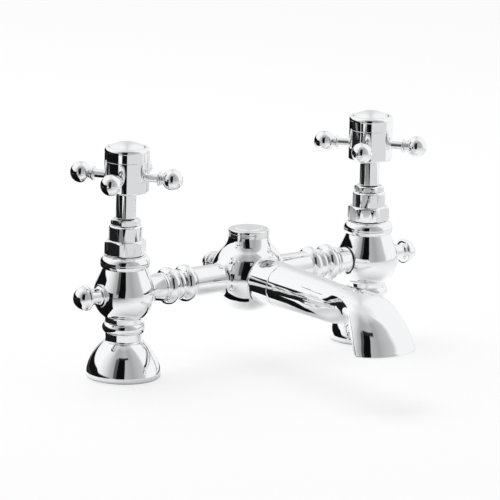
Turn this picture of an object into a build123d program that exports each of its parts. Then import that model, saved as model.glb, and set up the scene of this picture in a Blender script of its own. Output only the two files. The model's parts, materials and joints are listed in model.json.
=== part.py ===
"""Two-pillar bath filler mixer with crosshead handles and a fixed fan-mouthed spout.

Frame: origin on the deck midway between the pillars, X along the crossbar, -Y towards the
spout, +Z up. Every length is in millimetres and every angle in degrees.
"""

from build123d import *
import os
from math import atan2, cos, dist, hypot, radians, sin, sqrt, tan

os.makedirs("parts", exist_ok=True)

# Clearances, each per side
SHAFT_GAP = 0.05
THREAD_GAP = 0.03
HEX_GAP = 0.08
SEAL_GAP = 0.05
SEAT_GAP = 0.05
SPOTFACE_GAP = 0.3
JOINT_GAP = 0.1
CUTTER_REACH = 1.0

# Whole mixer
PILLAR_SPACING = 180.0
BAR_HEIGHT = 51.0

# Foot bell
BELL_R = 22.2
BELL_EDGE = 2.0
BELL_HEIGHT = 21.8
BELL_TOP_R = 12.0
BELL_SIDE_TOP = 3.6
BELL_BULGE = 1.7
INLET_THREAD_R = 12.06
INLET_THREAD_DEPTH = 14.0
INLET_BORE_R = 6.0
INLET_WALL = 2.54
GASKET_WIDTH = 4.2
GASKET_HEIGHT = 3.0
CORE_STEP = 0.8
CORE_WIDTH = 2.2
CORE_HEIGHT = 10.0

# Pillar body, with the bulb's heights above and below the crossbar's axis
NECK_R = 11.5
BEAD_R = 13.15
BEAD_HEIGHT = 5.8
BEAD_RISE = 0.5
BULB_R = 18.5
BULB_BELOW = 13.8
BULB_SIDE_BELOW = 2.4
BULB_SIDE_ABOVE = 3.6
BULB_ABOVE = 14.0
BULB_TOP_R = 12.9
FLANGE_R = 14.8
FLANGE_GAP = 1.6
FLANGE_HEIGHT = 5.0
PILLAR_LIP = 2.4
PILLAR_TOP_R = 12.3
FOOT_SPIGOT_R = 8.0
FOOT_SPIGOT_LENGTH = 6.8
FOOT_SEAL_STEP = 1.5
CHAMBER_STEP = 0.2
SEAT_BELOW = 8.0
SEAT_RIM = 2.5
SEAT_R = 7.2

# Crossbar joints
PORT_THREAD_R = 7.0
PORT_WALL = 0.8
PORT_DEPTH = 2.7
UNION_WALL = 1.6
UNION_LENGTH = 9.6
UNION_CHAMFER = 1.2
UNION_SEAL_STEP = 0.5
BAR_BEAD_R = 11.2
BAR_BEAD_START = 5.8
BAR_BEAD_SPACING = 12.8
BAR_BEAD_END = 3.2
BAR_BEAD_WIDTH = 3.4
BAR_HOLLOW = 0.9
BAR_VALLEY_R = 8.3
ARM_SPIGOT_R = 6.9
ARM_SPIGOT_LENGTH = 11.0
ARM_SPIGOT_WALL = 1.7
ARM_GROOVE_DEPTH = 1.1
ARM_GROOVE_WIDTH = 2.0
ARM_R = 8.95

# Finials on the pillars and behind the ball
FINIAL_SINK = 1.5
FINIAL_THREAD_R = 4.9
FINIAL_THREAD_LENGTH = 5.6
FINIAL_RING_R = 6.5
FINIAL_RING_WIDTH = 1.2
FINIAL_NECK_WIDTH = 1.4
FINIAL_SHANK_R = 4.75
FINIAL_FLANGE_R = 7.2
FINIAL_FLANGE_WIDTH = 1.6
FINIAL_DOME_R = 6.9
FINIAL_DOME_SHARE = 0.95
FINIAL_LENGTH = 18.3
FINIAL_SPOTFACE = 4.0

# Centre body
BALL_R = 22.5
BALL_WALL = 5.1
BALL_BLEND = 3.0
REAR_BOSS = 1.1
REAR_BOSS_MARGIN = 1.1
TOP_NECK_R = 12.0
TOP_NECK_HEIGHT = 3.3
TOP_THREAD_R = 8.0
TOP_SEAL_WIDTH = 1.6
CAP_MARGIN = 0.2
CAP_HEIGHT = 2.4
CAP_SHOULDER = 0.9
CAP_DISC_R = 7.5
CAP_DISC_RISE = 0.4
CAP_SPIGOT_LENGTH = 6.0
COLLAR_R = 13.3
COLLAR_LENGTH = 13.5
SPIGOT_R = 9.9
SPIGOT_LENGTH = 20.0
SPIGOT_BORE_R = 7.0
SPIGOT_GROOVE = 1.4
SPOUT_SEAL_BACK = 4.5
GRUB_R = 4.5
GRUB_BACK = 11.0
GRUB_TILT = 22.0
GRUB_HEIGHT = 2.2
GRUB_POINT_R = 2.2
GRUB_SOCKET = 1.6

# Spout
BARREL_END_R = 11.75
BARREL_LENGTH = 52.0
BARREL_RIDGE_ANGLE = 50.0
SPOUT_WALL = 2.4
SPOUT_FLOOR = 2.5
SECTION_SPACING = 5.0
MOUTH_DROP = 19.5
# Sections of the hood between the barrel and the mouth: distance ahead of the barrel's end and
# height above the bar of the side ridge, tilt, half width, depth in front of and behind the
# ridge, and the arc angle of each half
HOOD = (
    (16.0, 8.6, 3.0, 11.6, 3.6, 60.0, 17.3, 108.0),
    (29.7, 5.6, 25.0, 14.8, 4.9, 62.0, 16.6, 84.0),
    (38.7, -3.8, 50.0, 17.5, 10.0, 74.0, 16.0, 80.0),
    (43.8, -12.3, 72.0, 18.9, 15.2, 84.0, 14.8, 82.0),
    (47.0, -MOUTH_DROP, 90.0, 19.3, 16.0, 90.0, 14.5, 84.0),
)

# Headwork
HEADWORK_THREAD_R = 9.8
HEADWORK_THREAD_LENGTH = 14.0
HEADWORK_NOSE_STEP = 0.6
HEADWORK_NOSE = 4.0
HEADWORK_SEAL_WIDTH = 1.1
SEAL_HEIGHT = 1.5
BIG_HEX_WIDTH = 22.0
BIG_HEX_HEIGHT = 8.0
BARREL_R = 9.8
BARREL_HEIGHT = 9.8
BARREL_CHAMFER = 0.8
GLAND_HEX_WIDTH = 15.8
GLAND_HEX_HEIGHT = 3.7
GLAND_THREAD_R = 6.5
GLAND_THREAD_LENGTH = 4.3
PACKING_HEIGHT = 3.4
HEX_ANGLES = (-20.6, -46.0)
HEX_DROP = 0.75

# Spindle and jumper
LIFT = 4.5
LIFT_ROOM = 1.0
SPINDLE_R = 4.0
SPINDLE_THREAD_R = 4.5
SPINDLE_THREAD_OVERLAP = 8.6
SPINDLE_FLANGE_R = 5.9
SPINDLE_FLANGE_HEIGHT = 2.0
SPINDLE_NECK = 0.8
THRUST_WASHER_HEIGHT = 0.6
SHOULDER_RISE = 2.0
SPINDLE_SQUARE = 5.6
CIRCLIP_WIDTH = 1.0
CIRCLIP_HEIGHT = 0.8
CIRCLIP_GROOVE_DEPTH = 0.6
CIRCLIP_MOUTH = 3.2
JUMPER_HEX_WIDTH = 12.0
JUMPER_FLANGE_R = 7.2
JUMPER_FLANGE_HEIGHT = 2.5
JUMPER_HEIGHT = 19.0
TAP_WASHER_R = 7.7
TAP_WASHER_HEIGHT = 4.0
WASHER_SCREW_HEAD_R = 3.3
SCREW_R = 2.0
SCREW_LENGTH = 4.0
HANDLE_SCREW_LENGTH = 10.0

# Handle, with heights above the gland nut or above the hub's underside
STEM_WALL = 1.9
STEM_GAP = 0.4
STEM_LENGTH = 16.1
STEM_NECK = 0.7
HUB_R = 13.24
HUB_HEIGHT = 18.8
HUB_FLOOR_RISE = 12.4
HUB_WALL = 4.24
HUB_CHAMFER = 1.0
JOINT_BEVEL = 0.15
SOCKET_ROOF = 2.0
ARM_RISE = 9.3
ARM_ROD_R = 2.4
ARM_COLLAR = 0.4
ARM_ROOT = 6.3
ARM_BALL_R = 6.3
ARM_BALL_MID = 28.3
ARM_RING_R = 4.0
ARM_SMALL_RING_R = 3.3
ARM_RING_WIDTH = 1.5
ARM_COUNT = 4
ARM_ANGLES = (-53.6, -47.9)
CAP_WALL = 5.3
CAP_ROUNDING = 2.9
CAP_SPIGOT = 3.4
CAP_SPIGOT_WALL = 2.0
CAP_FLOOR = 2.5
INDEX_MARGIN = 2.64
INDEX_LIP = 0.5
INDEX_RECESS = 1.6
INDEX_SINK = 0.3
INDEX_RISE = 2.9
INDEX_PIN_R = 4.0
INDEX_PIN = 2.0

# Radii and levels that follow from the sizes above
BELL_FOOT_R = BELL_R - BELL_EDGE
GASKET_INNER_R = INLET_THREAD_R + INLET_WALL
GASKET_OUTER_R = GASKET_INNER_R + GASKET_WIDTH
CORE_INNER_R = GASKET_INNER_R + CORE_STEP
CORE_OUTER_R = CORE_INNER_R + CORE_WIDTH
BAR = BAR_HEIGHT
BULB_BOTTOM = BAR - BULB_BELOW
BULB_SIDE_BOTTOM = BAR - BULB_SIDE_BELOW
BULB_SIDE_TOP = BAR + BULB_SIDE_ABOVE
BULB_TOP = BAR + BULB_ABOVE
BEAD_MID = (BELL_HEIGHT + BULB_BOTTOM) / 2 + BEAD_RISE
FLANGE_BOTTOM = BULB_TOP + FLANGE_GAP
FLANGE_TOP = FLANGE_BOTTOM + FLANGE_HEIGHT
PILLAR_TOP = FLANGE_TOP + PILLAR_LIP
SEAT_HEIGHT = BAR - SEAT_BELOW
CHAMBER_FLOOR = SEAT_HEIGHT - SEAT_RIM
CHAMBER_R = HEADWORK_THREAD_R - CHAMBER_STEP
CHAMBER_TOP = PILLAR_TOP - HEADWORK_THREAD_LENGTH
FOOT_SEAL_R = NECK_R - FOOT_SEAL_STEP
PORT_BORE_R = ARM_SPIGOT_R - ARM_SPIGOT_WALL
PORT_THREAD_START = CHAMBER_R + PORT_WALL
PORT_FACE = BULB_R - PORT_DEPTH
UNION_R = PORT_THREAD_R + UNION_WALL
UNION_START = PORT_FACE + SPOTFACE_GAP
UNION_END = UNION_START + UNION_LENGTH
UNION_SEAL_R = UNION_R - UNION_SEAL_STEP
FIRST_BAR_BEAD = UNION_END + BAR_BEAD_START
LAST_BAR_BEAD = FIRST_BAR_BEAD + BAR_BEAD_SPACING
CONNECTOR_END = LAST_BAR_BEAD + BAR_BEAD_END
ARM_GROOVE_MID = CONNECTOR_END - ARM_SPIGOT_LENGTH / 2
ARM_START = PILLAR_SPACING / 2 - CONNECTOR_END
FINIAL_BASE = BULB_R - FINIAL_SINK
BALL_CAVITY_R = BALL_R - BALL_WALL
REAR_BOSS_R = FINIAL_RING_R + REAR_BOSS_MARGIN
REAR_BASE = BALL_R + REAR_BOSS
TOP_NECK_TOP = BAR + BALL_R + TOP_NECK_HEIGHT
TOP_SEAL_R = TOP_THREAD_R + TOP_SEAL_WIDTH
CAP_R = TOP_NECK_R + CAP_MARGIN
COLLAR_END = BALL_R + COLLAR_LENGTH
SEAL_MID = COLLAR_END - SPOUT_SEAL_BACK
GRUB_AHEAD = COLLAR_END - GRUB_BACK
GROOVE_FLOOR = SPIGOT_R - SPIGOT_GROOVE
BARREL_END = COLLAR_END + BARREL_LENGTH
HEADWORK_NOSE_R = HEADWORK_THREAD_R - HEADWORK_NOSE_STEP
HEADWORK_BOTTOM = CHAMBER_TOP - HEADWORK_NOSE
HEADWORK_SEAL_R = HEADWORK_THREAD_R + HEADWORK_SEAL_WIDTH
HEX_TOP = PILLAR_TOP + BIG_HEX_HEIGHT
BARREL_TOP = HEX_TOP + BARREL_HEIGHT
PACKING_TOP = BARREL_TOP - GLAND_THREAD_LENGTH
PACKING_BOTTOM = PACKING_TOP - PACKING_HEIGHT
GLAND_TOP = BARREL_TOP + GLAND_HEX_HEIGHT
SHOULDER_HEIGHT = PILLAR_TOP + SHOULDER_RISE
FLANGE_SEAT = SHOULDER_HEIGHT - THRUST_WASHER_HEIGHT - SHAFT_GAP
JUMPER_BOTTOM = SEAT_HEIGHT + SEAT_GAP + TAP_WASHER_HEIGHT
JUMPER_TOP = JUMPER_BOTTOM + JUMPER_HEIGHT
SPINDLE_BOTTOM = JUMPER_TOP - SPINDLE_THREAD_OVERLAP
CIRCLIP_R = SPINDLE_R + CIRCLIP_WIDTH
CIRCLIP_GROOVE_R = SPINDLE_R - CIRCLIP_GROOVE_DEPTH
CIRCLIP_BOTTOM = GLAND_TOP + SPOTFACE_GAP
STEM_R = SPINDLE_R + STEM_WALL
HUB_BOTTOM = GLAND_TOP + STEM_LENGTH
HUB_TOP = HUB_BOTTOM + HUB_HEIGHT
HUB_FLOOR = HUB_BOTTOM + HUB_FLOOR_RISE
HUB_CAVITY_R = HUB_R - HUB_WALL
ARM_HEIGHT = HUB_BOTTOM + ARM_RISE
CAP_WALL_TOP = HUB_TOP + CAP_WALL
CAP_RIM = CAP_WALL_TOP + CAP_ROUNDING
INDEX_R = HUB_R - INDEX_MARGIN
INDEX_FLOOR = CAP_RIM - INDEX_RECESS

SIDES = (("left", -1), ("right", 1))


def edges_between(here, there):
    """Edge from one outline step to the next, as a line or as an arc with a given bulge."""
    start = Vector(here[0], 0, here[1])
    end = Vector(there[0], 0, there[1])
    bulge = there[2] if len(there) > 2 else 0
    if not bulge:
        return Line(start, end)
    along = (end - start).normalized()
    middle = (start + end) * 0.5 + Vector(along.Z, 0, -along.X) * bulge
    return ThreePointArc(start, middle, end)


def turned(*steps):
    """Solid of revolution about Z from a closed outline of (radius, height[, bulge]) steps."""
    closed = list(steps) + [steps[0]]
    pairs = [pair for pair in zip(closed, closed[1:]) if pair[0][:2] != pair[1][:2]]
    edges = [edges_between(*pair) for pair in pairs]
    return revolve(make_face(edges), Axis.Z)


def ring(outer, inner, bottom, top):
    """Plain turned ring."""
    return turned((inner, bottom), (outer, bottom), (outer, top), (inner, top))


def disc(radius, bottom, top):
    """Plain turned disc."""
    return ring(radius, 0, bottom, top)


def soft_ring(outer, inner, bottom, top):
    """Seal ring with rounded outer and inner edges."""
    nip = 0.3 * min(outer - inner, top - bottom)
    return turned(
        (inner + nip, bottom),
        (outer - nip, bottom),
        (outer, bottom + nip, nip * 0.3),
        (outer, top - nip),
        (outer - nip, top, nip * 0.3),
        (inner + nip, top),
        (inner, top - nip, nip * 0.3),
        (inner, bottom + nip),
    )


def upright_bulge(here, there):
    """Bulge of an arc between two steps that runs straight up at its wider end."""
    width = abs(here[0] - there[0])
    height = abs(here[1] - there[1])
    return hypot(width, height) / 2 * tan(atan2(width, height) / 2)


def dome_bulge(width, rise):
    """Bulge of a dome's arc from its edge to its top on the axis."""
    radius = (width**2 + rise**2) / (2 * rise)
    return radius - sqrt(radius**2 - (width**2 + rise**2) / 4)


def hexagon(width, bottom, top):
    """Hexagonal prism with a corner on +X and its width across the flats given."""
    side = RegularPolygon(width / sqrt(3), 6)
    return Pos(0, 0, bottom) * extrude(side, top - bottom)


def chamfered_hexagon(width, bottom, top):
    """Hexagonal prism whose corners are turned down at both ends."""
    corner = width / sqrt(3)
    drop = (corner - width / 2) * 0.75
    mask = turned(
        (0, bottom),
        (width / 2, bottom),
        (corner, bottom + drop),
        (corner, top - drop),
        (width / 2, top),
        (0, top),
    )
    return hexagon(width, bottom, top) & mask


def square(width, bottom, top):
    """Square prism about Z."""
    return Pos(0, 0, (bottom + top) / 2) * Box(width, width, top - bottom)


def along_bar(piece):
    """Turn a piece made about Z so that its axis lies on the crossbar, pointing to +X."""
    return Pos(0, 0, BAR) * Rot(0, 90, 0) * piece


def to_front(piece):
    """Turn a piece made about Z so that its axis points to -Y at the crossbar's height."""
    return Pos(0, 0, BAR) * Rot(90, 0, 0) * piece


def save(node, *solids):
    """Write one node; several solids stay separate in it."""
    shape = solids[0] if len(solids) == 1 else Compound(children=list(solids))
    if len(solids) == 1:
        shape = shape.solid()
    shape.label = node
    export_step(shape, "parts/" + node + ".step")


# Pieces of one pillar, made with the crossbar pointing to +X


def foot_bell():
    """Domed foot with the inlet thread below and the pillar's socket above."""
    edge = BELL_R - BELL_FOOT_R
    shell = turned(
        (INLET_THREAD_R, 0),
        (BELL_FOOT_R, 0),
        (BELL_R, edge, edge * 0.29),
        (BELL_R, BELL_SIDE_TOP),
        (BELL_TOP_R, BELL_HEIGHT, BELL_BULGE),
        (FOOT_SPIGOT_R + THREAD_GAP, BELL_HEIGHT),
        (FOOT_SPIGOT_R + THREAD_GAP, INLET_THREAD_DEPTH),
        (INLET_THREAD_R, INLET_THREAD_DEPTH),
    )
    groove = ring(GASKET_OUTER_R, GASKET_INNER_R, 0, GASKET_HEIGHT)
    core = ring(CORE_OUTER_R, CORE_INNER_R, 0, CORE_HEIGHT)
    recess = ring(FOOT_SEAL_R, 0, BELL_HEIGHT - SEAL_HEIGHT, BELL_HEIGHT)
    return shell - groove - core - recess


def foot_gasket():
    """Ring that seals the bell to the deck."""
    return soft_ring(
        GASKET_OUTER_R - SEAL_GAP, GASKET_INNER_R + SEAL_GAP, SEAL_GAP, GASKET_HEIGHT - SEAL_GAP
    )


def foot_seal():
    """Washer under the pillar's shoulder."""
    return soft_ring(
        FOOT_SEAL_R - SEAL_GAP, FOOT_SPIGOT_R + SEAL_GAP, BELL_HEIGHT - SEAL_HEIGHT, BELL_HEIGHT
    )


def pillar_outline():
    """Steps of the pillar's outside, from the foot spigot up."""
    half = BEAD_HEIGHT / 2
    low = (NECK_R, BULB_BOTTOM)
    high = (BULB_TOP_R, BULB_TOP)
    waist = (FLANGE_BOTTOM + FLANGE_TOP) / 2
    low_bulge = upright_bulge(low, (BULB_R, BULB_SIDE_BOTTOM))
    high_bulge = upright_bulge(high, (BULB_R, BULB_SIDE_TOP))
    return (
        (0, BELL_HEIGHT - FOOT_SPIGOT_LENGTH),
        (FOOT_SPIGOT_R, BELL_HEIGHT - FOOT_SPIGOT_LENGTH),
        (FOOT_SPIGOT_R, BELL_HEIGHT),
        (NECK_R, BELL_HEIGHT),
        (NECK_R, BEAD_MID - half),
        (NECK_R, BEAD_MID + half, BEAD_R - NECK_R),
        low,
        (BULB_R, BULB_SIDE_BOTTOM, low_bulge),
        (BULB_R, BULB_SIDE_TOP),
        (BULB_TOP_R, BULB_TOP, high_bulge),
        (BULB_TOP_R, FLANGE_BOTTOM),
        (FLANGE_R, waist, (FLANGE_R - BULB_TOP_R) * 0.4),
        (PILLAR_TOP_R, PILLAR_TOP - 0.6, (FLANGE_R - PILLAR_TOP_R) * 0.3),
        (PILLAR_TOP_R, PILLAR_TOP),
        (0, PILLAR_TOP),
    )


def valve_chamber():
    """Room above the seat, with the headwork's thread and seal recess on top."""
    thread = HEADWORK_THREAD_R + THREAD_GAP
    return turned(
        (SEAT_R, CHAMBER_FLOOR),
        (CHAMBER_R, CHAMBER_FLOOR),
        (CHAMBER_R, CHAMBER_TOP),
        (thread, CHAMBER_TOP),
        (thread, PILLAR_TOP - SEAL_HEIGHT),
        (HEADWORK_SEAL_R, PILLAR_TOP - SEAL_HEIGHT),
        (HEADWORK_SEAL_R, PILLAR_TOP),
        (0, PILLAR_TOP),
        (0, SEAT_HEIGHT),
        (SEAT_R, SEAT_HEIGHT),
    )


def port_cut():
    """Port towards the crossbar, with its thread, seal recess and flat face."""
    thread = PORT_THREAD_R + THREAD_GAP
    return turned(
        (0, 0),
        (PORT_BORE_R, 0),
        (PORT_BORE_R, PORT_THREAD_START),
        (thread, PORT_THREAD_START),
        (thread, PORT_FACE - SEAL_HEIGHT),
        (UNION_SEAL_R, PORT_FACE - SEAL_HEIGHT),
        (UNION_SEAL_R, PORT_FACE),
        (UNION_R + SPOTFACE_GAP, PORT_FACE),
        (UNION_R + SPOTFACE_GAP, BULB_R + CUTTER_REACH),
        (0, BULB_R + CUTTER_REACH),
    )


def finial_cut(base, depth):
    """Threaded hole and flat face for a finial, pointing up, with the face at its base."""
    thread = FINIAL_THREAD_R + THREAD_GAP
    face = FINIAL_RING_R + SPOTFACE_GAP
    return turned(
        (0, base - depth),
        (thread, base - depth),
        (thread, base),
        (face, base),
        (face, base + FINIAL_SPOTFACE),
        (0, base + FINIAL_SPOTFACE),
    )


def finial(base):
    """Turned plug with a ring, a shank, a flange and a dome."""
    tip = base + FINIAL_LENGTH
    dome = tip - FINIAL_DOME_R * FINIAL_DOME_SHARE
    neck = base + FINIAL_RING_WIDTH
    flange = dome - SPOTFACE_GAP - FINIAL_FLANGE_WIDTH
    return turned(
        (0, base - FINIAL_THREAD_LENGTH),
        (FINIAL_THREAD_R, base - FINIAL_THREAD_LENGTH),
        (FINIAL_THREAD_R, base),
        (FINIAL_RING_R, base),
        (FINIAL_RING_R, neck, FINIAL_RING_WIDTH / 5),
        (FINIAL_SHANK_R, neck + FINIAL_NECK_WIDTH, -FINIAL_NECK_WIDTH / 4),
        (FINIAL_SHANK_R, flange - FINIAL_FLANGE_WIDTH / 3),
        (FINIAL_FLANGE_R, flange, -FINIAL_FLANGE_WIDTH / 5),
        (FINIAL_FLANGE_R, flange + FINIAL_FLANGE_WIDTH, FINIAL_FLANGE_WIDTH / 5),
        (FINIAL_DOME_R, dome),
        (0, tip, dome_bulge(FINIAL_DOME_R, tip - dome)),
    )


def pillar_body():
    """Pillar with neck, bead, bulb and flange, hollow from the inlet to the headwork."""
    body = turned(*pillar_outline())
    body -= disc(INLET_BORE_R, 0, SEAT_HEIGHT)
    body -= valve_chamber()
    body -= along_bar(port_cut())
    depth = FINIAL_BASE - CHAMBER_R + CUTTER_REACH
    body -= Rot(0, 0, 180) * along_bar(finial_cut(FINIAL_BASE, depth))
    return body


def union_ring():
    """Lock ring between the bulb and the beads."""
    nip = UNION_CHAMFER
    bore = PORT_THREAD_R + THREAD_GAP
    return turned(
        (bore, UNION_START),
        (UNION_R - nip, UNION_START),
        (UNION_R, UNION_START + nip),
        (UNION_R, UNION_END - nip),
        (UNION_R - nip, UNION_END),
        (bore, UNION_END),
    )


def connector_seal():
    """Washer between the union ring and the pillar's port."""
    outer = UNION_SEAL_R - SEAL_GAP
    return soft_ring(outer, PORT_THREAD_R + SEAL_GAP, PORT_FACE - SEAL_HEIGHT, UNION_START)


def bead_steps():
    """Outside of the beaded connector, from the union ring to the arm."""
    half = BAR_BEAD_WIDTH / 2
    crown = half * 0.6
    shoulder = BAR_BEAD_R - crown
    valley = (FIRST_BAR_BEAD + LAST_BAR_BEAD) / 2
    return (
        (BAR_VALLEY_R, UNION_END + JOINT_GAP),
        (shoulder, FIRST_BAR_BEAD - half, -BAR_HOLLOW),
        (shoulder, FIRST_BAR_BEAD + half, crown),
        (BAR_VALLEY_R, valley, -BAR_HOLLOW),
        (shoulder, LAST_BAR_BEAD - half, -BAR_HOLLOW),
        (shoulder, LAST_BAR_BEAD + half, crown),
        (ARM_R + CAP_MARGIN, CONNECTOR_END, -BAR_HOLLOW / 2),
    )


def beaded_connector():
    """Two round beads on a threaded spigot, with a socket for the centre arm."""
    socket = ARM_SPIGOT_R + SHAFT_GAP
    socket_floor = CONNECTOR_END - ARM_SPIGOT_LENGTH - SPOTFACE_GAP
    return turned(
        (PORT_BORE_R, PORT_THREAD_START + JOINT_GAP),
        (PORT_THREAD_R, PORT_THREAD_START + JOINT_GAP),
        (PORT_THREAD_R, UNION_END + JOINT_GAP),
        *bead_steps(),
        (socket, CONNECTOR_END),
        (socket, socket_floor),
        (PORT_BORE_R, socket_floor),
    )


def arm_seal():
    """O-ring on the centre arm's spigot."""
    inner = ARM_SPIGOT_R - ARM_GROOVE_DEPTH + SEAL_GAP / 2
    half = ARM_GROOVE_WIDTH / 2 - SEAL_GAP
    return soft_ring(ARM_SPIGOT_R, inner, ARM_GROOVE_MID - half, ARM_GROOVE_MID + half)


def headwork_body():
    """Large hexagon and barrel above, threaded skirt with the jumper's hexagon bore below."""
    body = turned(
        (0, HEADWORK_BOTTOM),
        (HEADWORK_NOSE_R, HEADWORK_BOTTOM),
        (HEADWORK_NOSE_R, CHAMBER_TOP),
        (HEADWORK_THREAD_R, CHAMBER_TOP),
        (HEADWORK_THREAD_R, HEX_TOP),
        (BARREL_R, HEX_TOP),
        (BARREL_R, BARREL_TOP - BARREL_CHAMFER),
        (BARREL_R - BARREL_CHAMFER, BARREL_TOP),
        (0, BARREL_TOP),
    )
    body += chamfered_hexagon(BIG_HEX_WIDTH, PILLAR_TOP, HEX_TOP)
    bore_top = JUMPER_TOP + LIFT + LIFT_ROOM
    body -= hexagon(JUMPER_HEX_WIDTH + 2 * HEX_GAP, HEADWORK_BOTTOM, bore_top)
    body -= disc(SPINDLE_FLANGE_R + SHAFT_GAP, bore_top, SHOULDER_HEIGHT)
    body -= disc(SPINDLE_R + SHAFT_GAP, SHOULDER_HEIGHT, PACKING_BOTTOM)
    return body - disc(GLAND_THREAD_R + THREAD_GAP, PACKING_BOTTOM, BARREL_TOP)


def headwork_seal():
    """Ring under the large hexagon."""
    bottom = PILLAR_TOP - SEAL_HEIGHT
    inner = HEADWORK_THREAD_R + SEAL_GAP
    return soft_ring(HEADWORK_SEAL_R - SEAL_GAP, inner, bottom, PILLAR_TOP)


def gland_nut():
    """Small hexagon on a threaded spigot that presses the packing."""
    nut = chamfered_hexagon(GLAND_HEX_WIDTH, BARREL_TOP, GLAND_TOP)
    nut += disc(GLAND_THREAD_R, PACKING_TOP, BARREL_TOP)
    return nut - disc(SPINDLE_R + 3 * SHAFT_GAP, PACKING_TOP, GLAND_TOP)


def gland_packing():
    """Packing ring round the spindle."""
    inner = SPINDLE_R + SHAFT_GAP
    return soft_ring(GLAND_THREAD_R, inner, PACKING_BOTTOM, PACKING_TOP)


def spindle():
    """Spindle with its lifting thread, thrust flange, circlip groove and square head."""
    neck_top = HUB_BOTTOM + SPINDLE_NECK
    head_top = HUB_FLOOR - SOCKET_ROOF - SEAT_GAP
    rod = turned(
        (0, SPINDLE_BOTTOM),
        (SPINDLE_THREAD_R, SPINDLE_BOTTOM),
        (SPINDLE_THREAD_R, FLANGE_SEAT - SPINDLE_FLANGE_HEIGHT),
        (SPINDLE_FLANGE_R, FLANGE_SEAT - SPINDLE_FLANGE_HEIGHT),
        (SPINDLE_FLANGE_R, FLANGE_SEAT),
        (SPINDLE_R, FLANGE_SEAT),
        (SPINDLE_R, CIRCLIP_BOTTOM),
        (CIRCLIP_GROOVE_R, CIRCLIP_BOTTOM),
        (CIRCLIP_GROOVE_R, CIRCLIP_BOTTOM + CIRCLIP_HEIGHT),
        (SPINDLE_R, CIRCLIP_BOTTOM + CIRCLIP_HEIGHT),
        (SPINDLE_R, neck_top),
        (0, neck_top),
    )
    rod += square(SPINDLE_SQUARE, neck_top - SPINDLE_NECK / 2, head_top)
    hole_floor = HUB_FLOOR - HANDLE_SCREW_LENGTH - CUTTER_REACH
    return rod - disc(SCREW_R + THREAD_GAP, hole_floor, head_top)


def thrust_washer():
    """Washer between the spindle's flange and the headwork's shoulder."""
    bottom = FLANGE_SEAT + SHAFT_GAP / 2
    return ring(SPINDLE_FLANGE_R, SPINDLE_R + SHAFT_GAP, bottom, bottom + THRUST_WASHER_HEIGHT)


def spindle_circlip():
    """Open ring in the spindle's groove above the gland nut."""
    low = CIRCLIP_BOTTOM + THREAD_GAP
    high = CIRCLIP_BOTTOM + CIRCLIP_HEIGHT - THREAD_GAP
    clip = ring(CIRCLIP_R, CIRCLIP_GROOVE_R + THREAD_GAP, low, high)
    gap = Pos(CIRCLIP_R, 0, (low + high) / 2) * Box(2 * CIRCLIP_R, CIRCLIP_MOUTH, CIRCLIP_HEIGHT)
    return clip - gap


def jumper():
    """Hexagonal carrier with the lifting thread above and the washer's seat below."""
    flange_top = JUMPER_BOTTOM + JUMPER_FLANGE_HEIGHT
    body = disc(JUMPER_FLANGE_R, JUMPER_BOTTOM, flange_top)
    body += hexagon(JUMPER_HEX_WIDTH, flange_top, JUMPER_TOP)
    body -= disc(SPINDLE_THREAD_R + SHAFT_GAP, SPINDLE_BOTTOM - LIFT - LIFT_ROOM, JUMPER_TOP)
    hole_top = JUMPER_BOTTOM + SCREW_LENGTH + SPOTFACE_GAP
    return body - disc(SCREW_R + THREAD_GAP, JUMPER_BOTTOM, hole_top)


def tap_washer():
    """Rubber disc that closes on the seat."""
    inner = WASHER_SCREW_HEAD_R + SPOTFACE_GAP
    return soft_ring(TAP_WASHER_R, inner, SEAT_HEIGHT + SEAT_GAP, JUMPER_BOTTOM)


def washer_screw():
    """Screw that holds the tap washer on the jumper."""
    head = JUMPER_BOTTOM - TAP_WASHER_HEIGHT * 0.6
    screw = turned(
        (0, head),
        (WASHER_SCREW_HEAD_R - 0.5, head),
        (WASHER_SCREW_HEAD_R, head + 0.5, 0.12),
        (WASHER_SCREW_HEAD_R, JUMPER_BOTTOM),
        (SCREW_R, JUMPER_BOTTOM),
        (SCREW_R, JUMPER_BOTTOM + SCREW_LENGTH),
        (0, JUMPER_BOTTOM + SCREW_LENGTH),
    )
    return screw - Pos(0, 0, head + 0.4) * Box(2 * WASHER_SCREW_HEAD_R + 1, 0.9, 0.8)


# Pieces of one handle, made about the pillar's axis with the first arm on +X


def stem_sleeve():
    """Chromed sleeve round the spindle between the gland nut and the hub."""
    bottom = GLAND_TOP + STEM_GAP
    pocket_top = CIRCLIP_BOTTOM + CIRCLIP_HEIGHT + SPOTFACE_GAP
    pocket = CIRCLIP_R + 3 * SHAFT_GAP
    bore = SPINDLE_R + SHAFT_GAP
    return turned(
        (pocket, bottom),
        (STEM_R - SPOTFACE_GAP, bottom),
        (STEM_R, bottom + SPOTFACE_GAP),
        (STEM_R, HUB_BOTTOM - 2 * STEM_NECK),
        (STEM_R - STEM_NECK, HUB_BOTTOM - STEM_NECK),
        (STEM_R - STEM_NECK, HUB_BOTTOM),
        (bore, HUB_BOTTOM),
        (bore, pocket_top),
        (pocket, pocket_top),
    )


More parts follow.
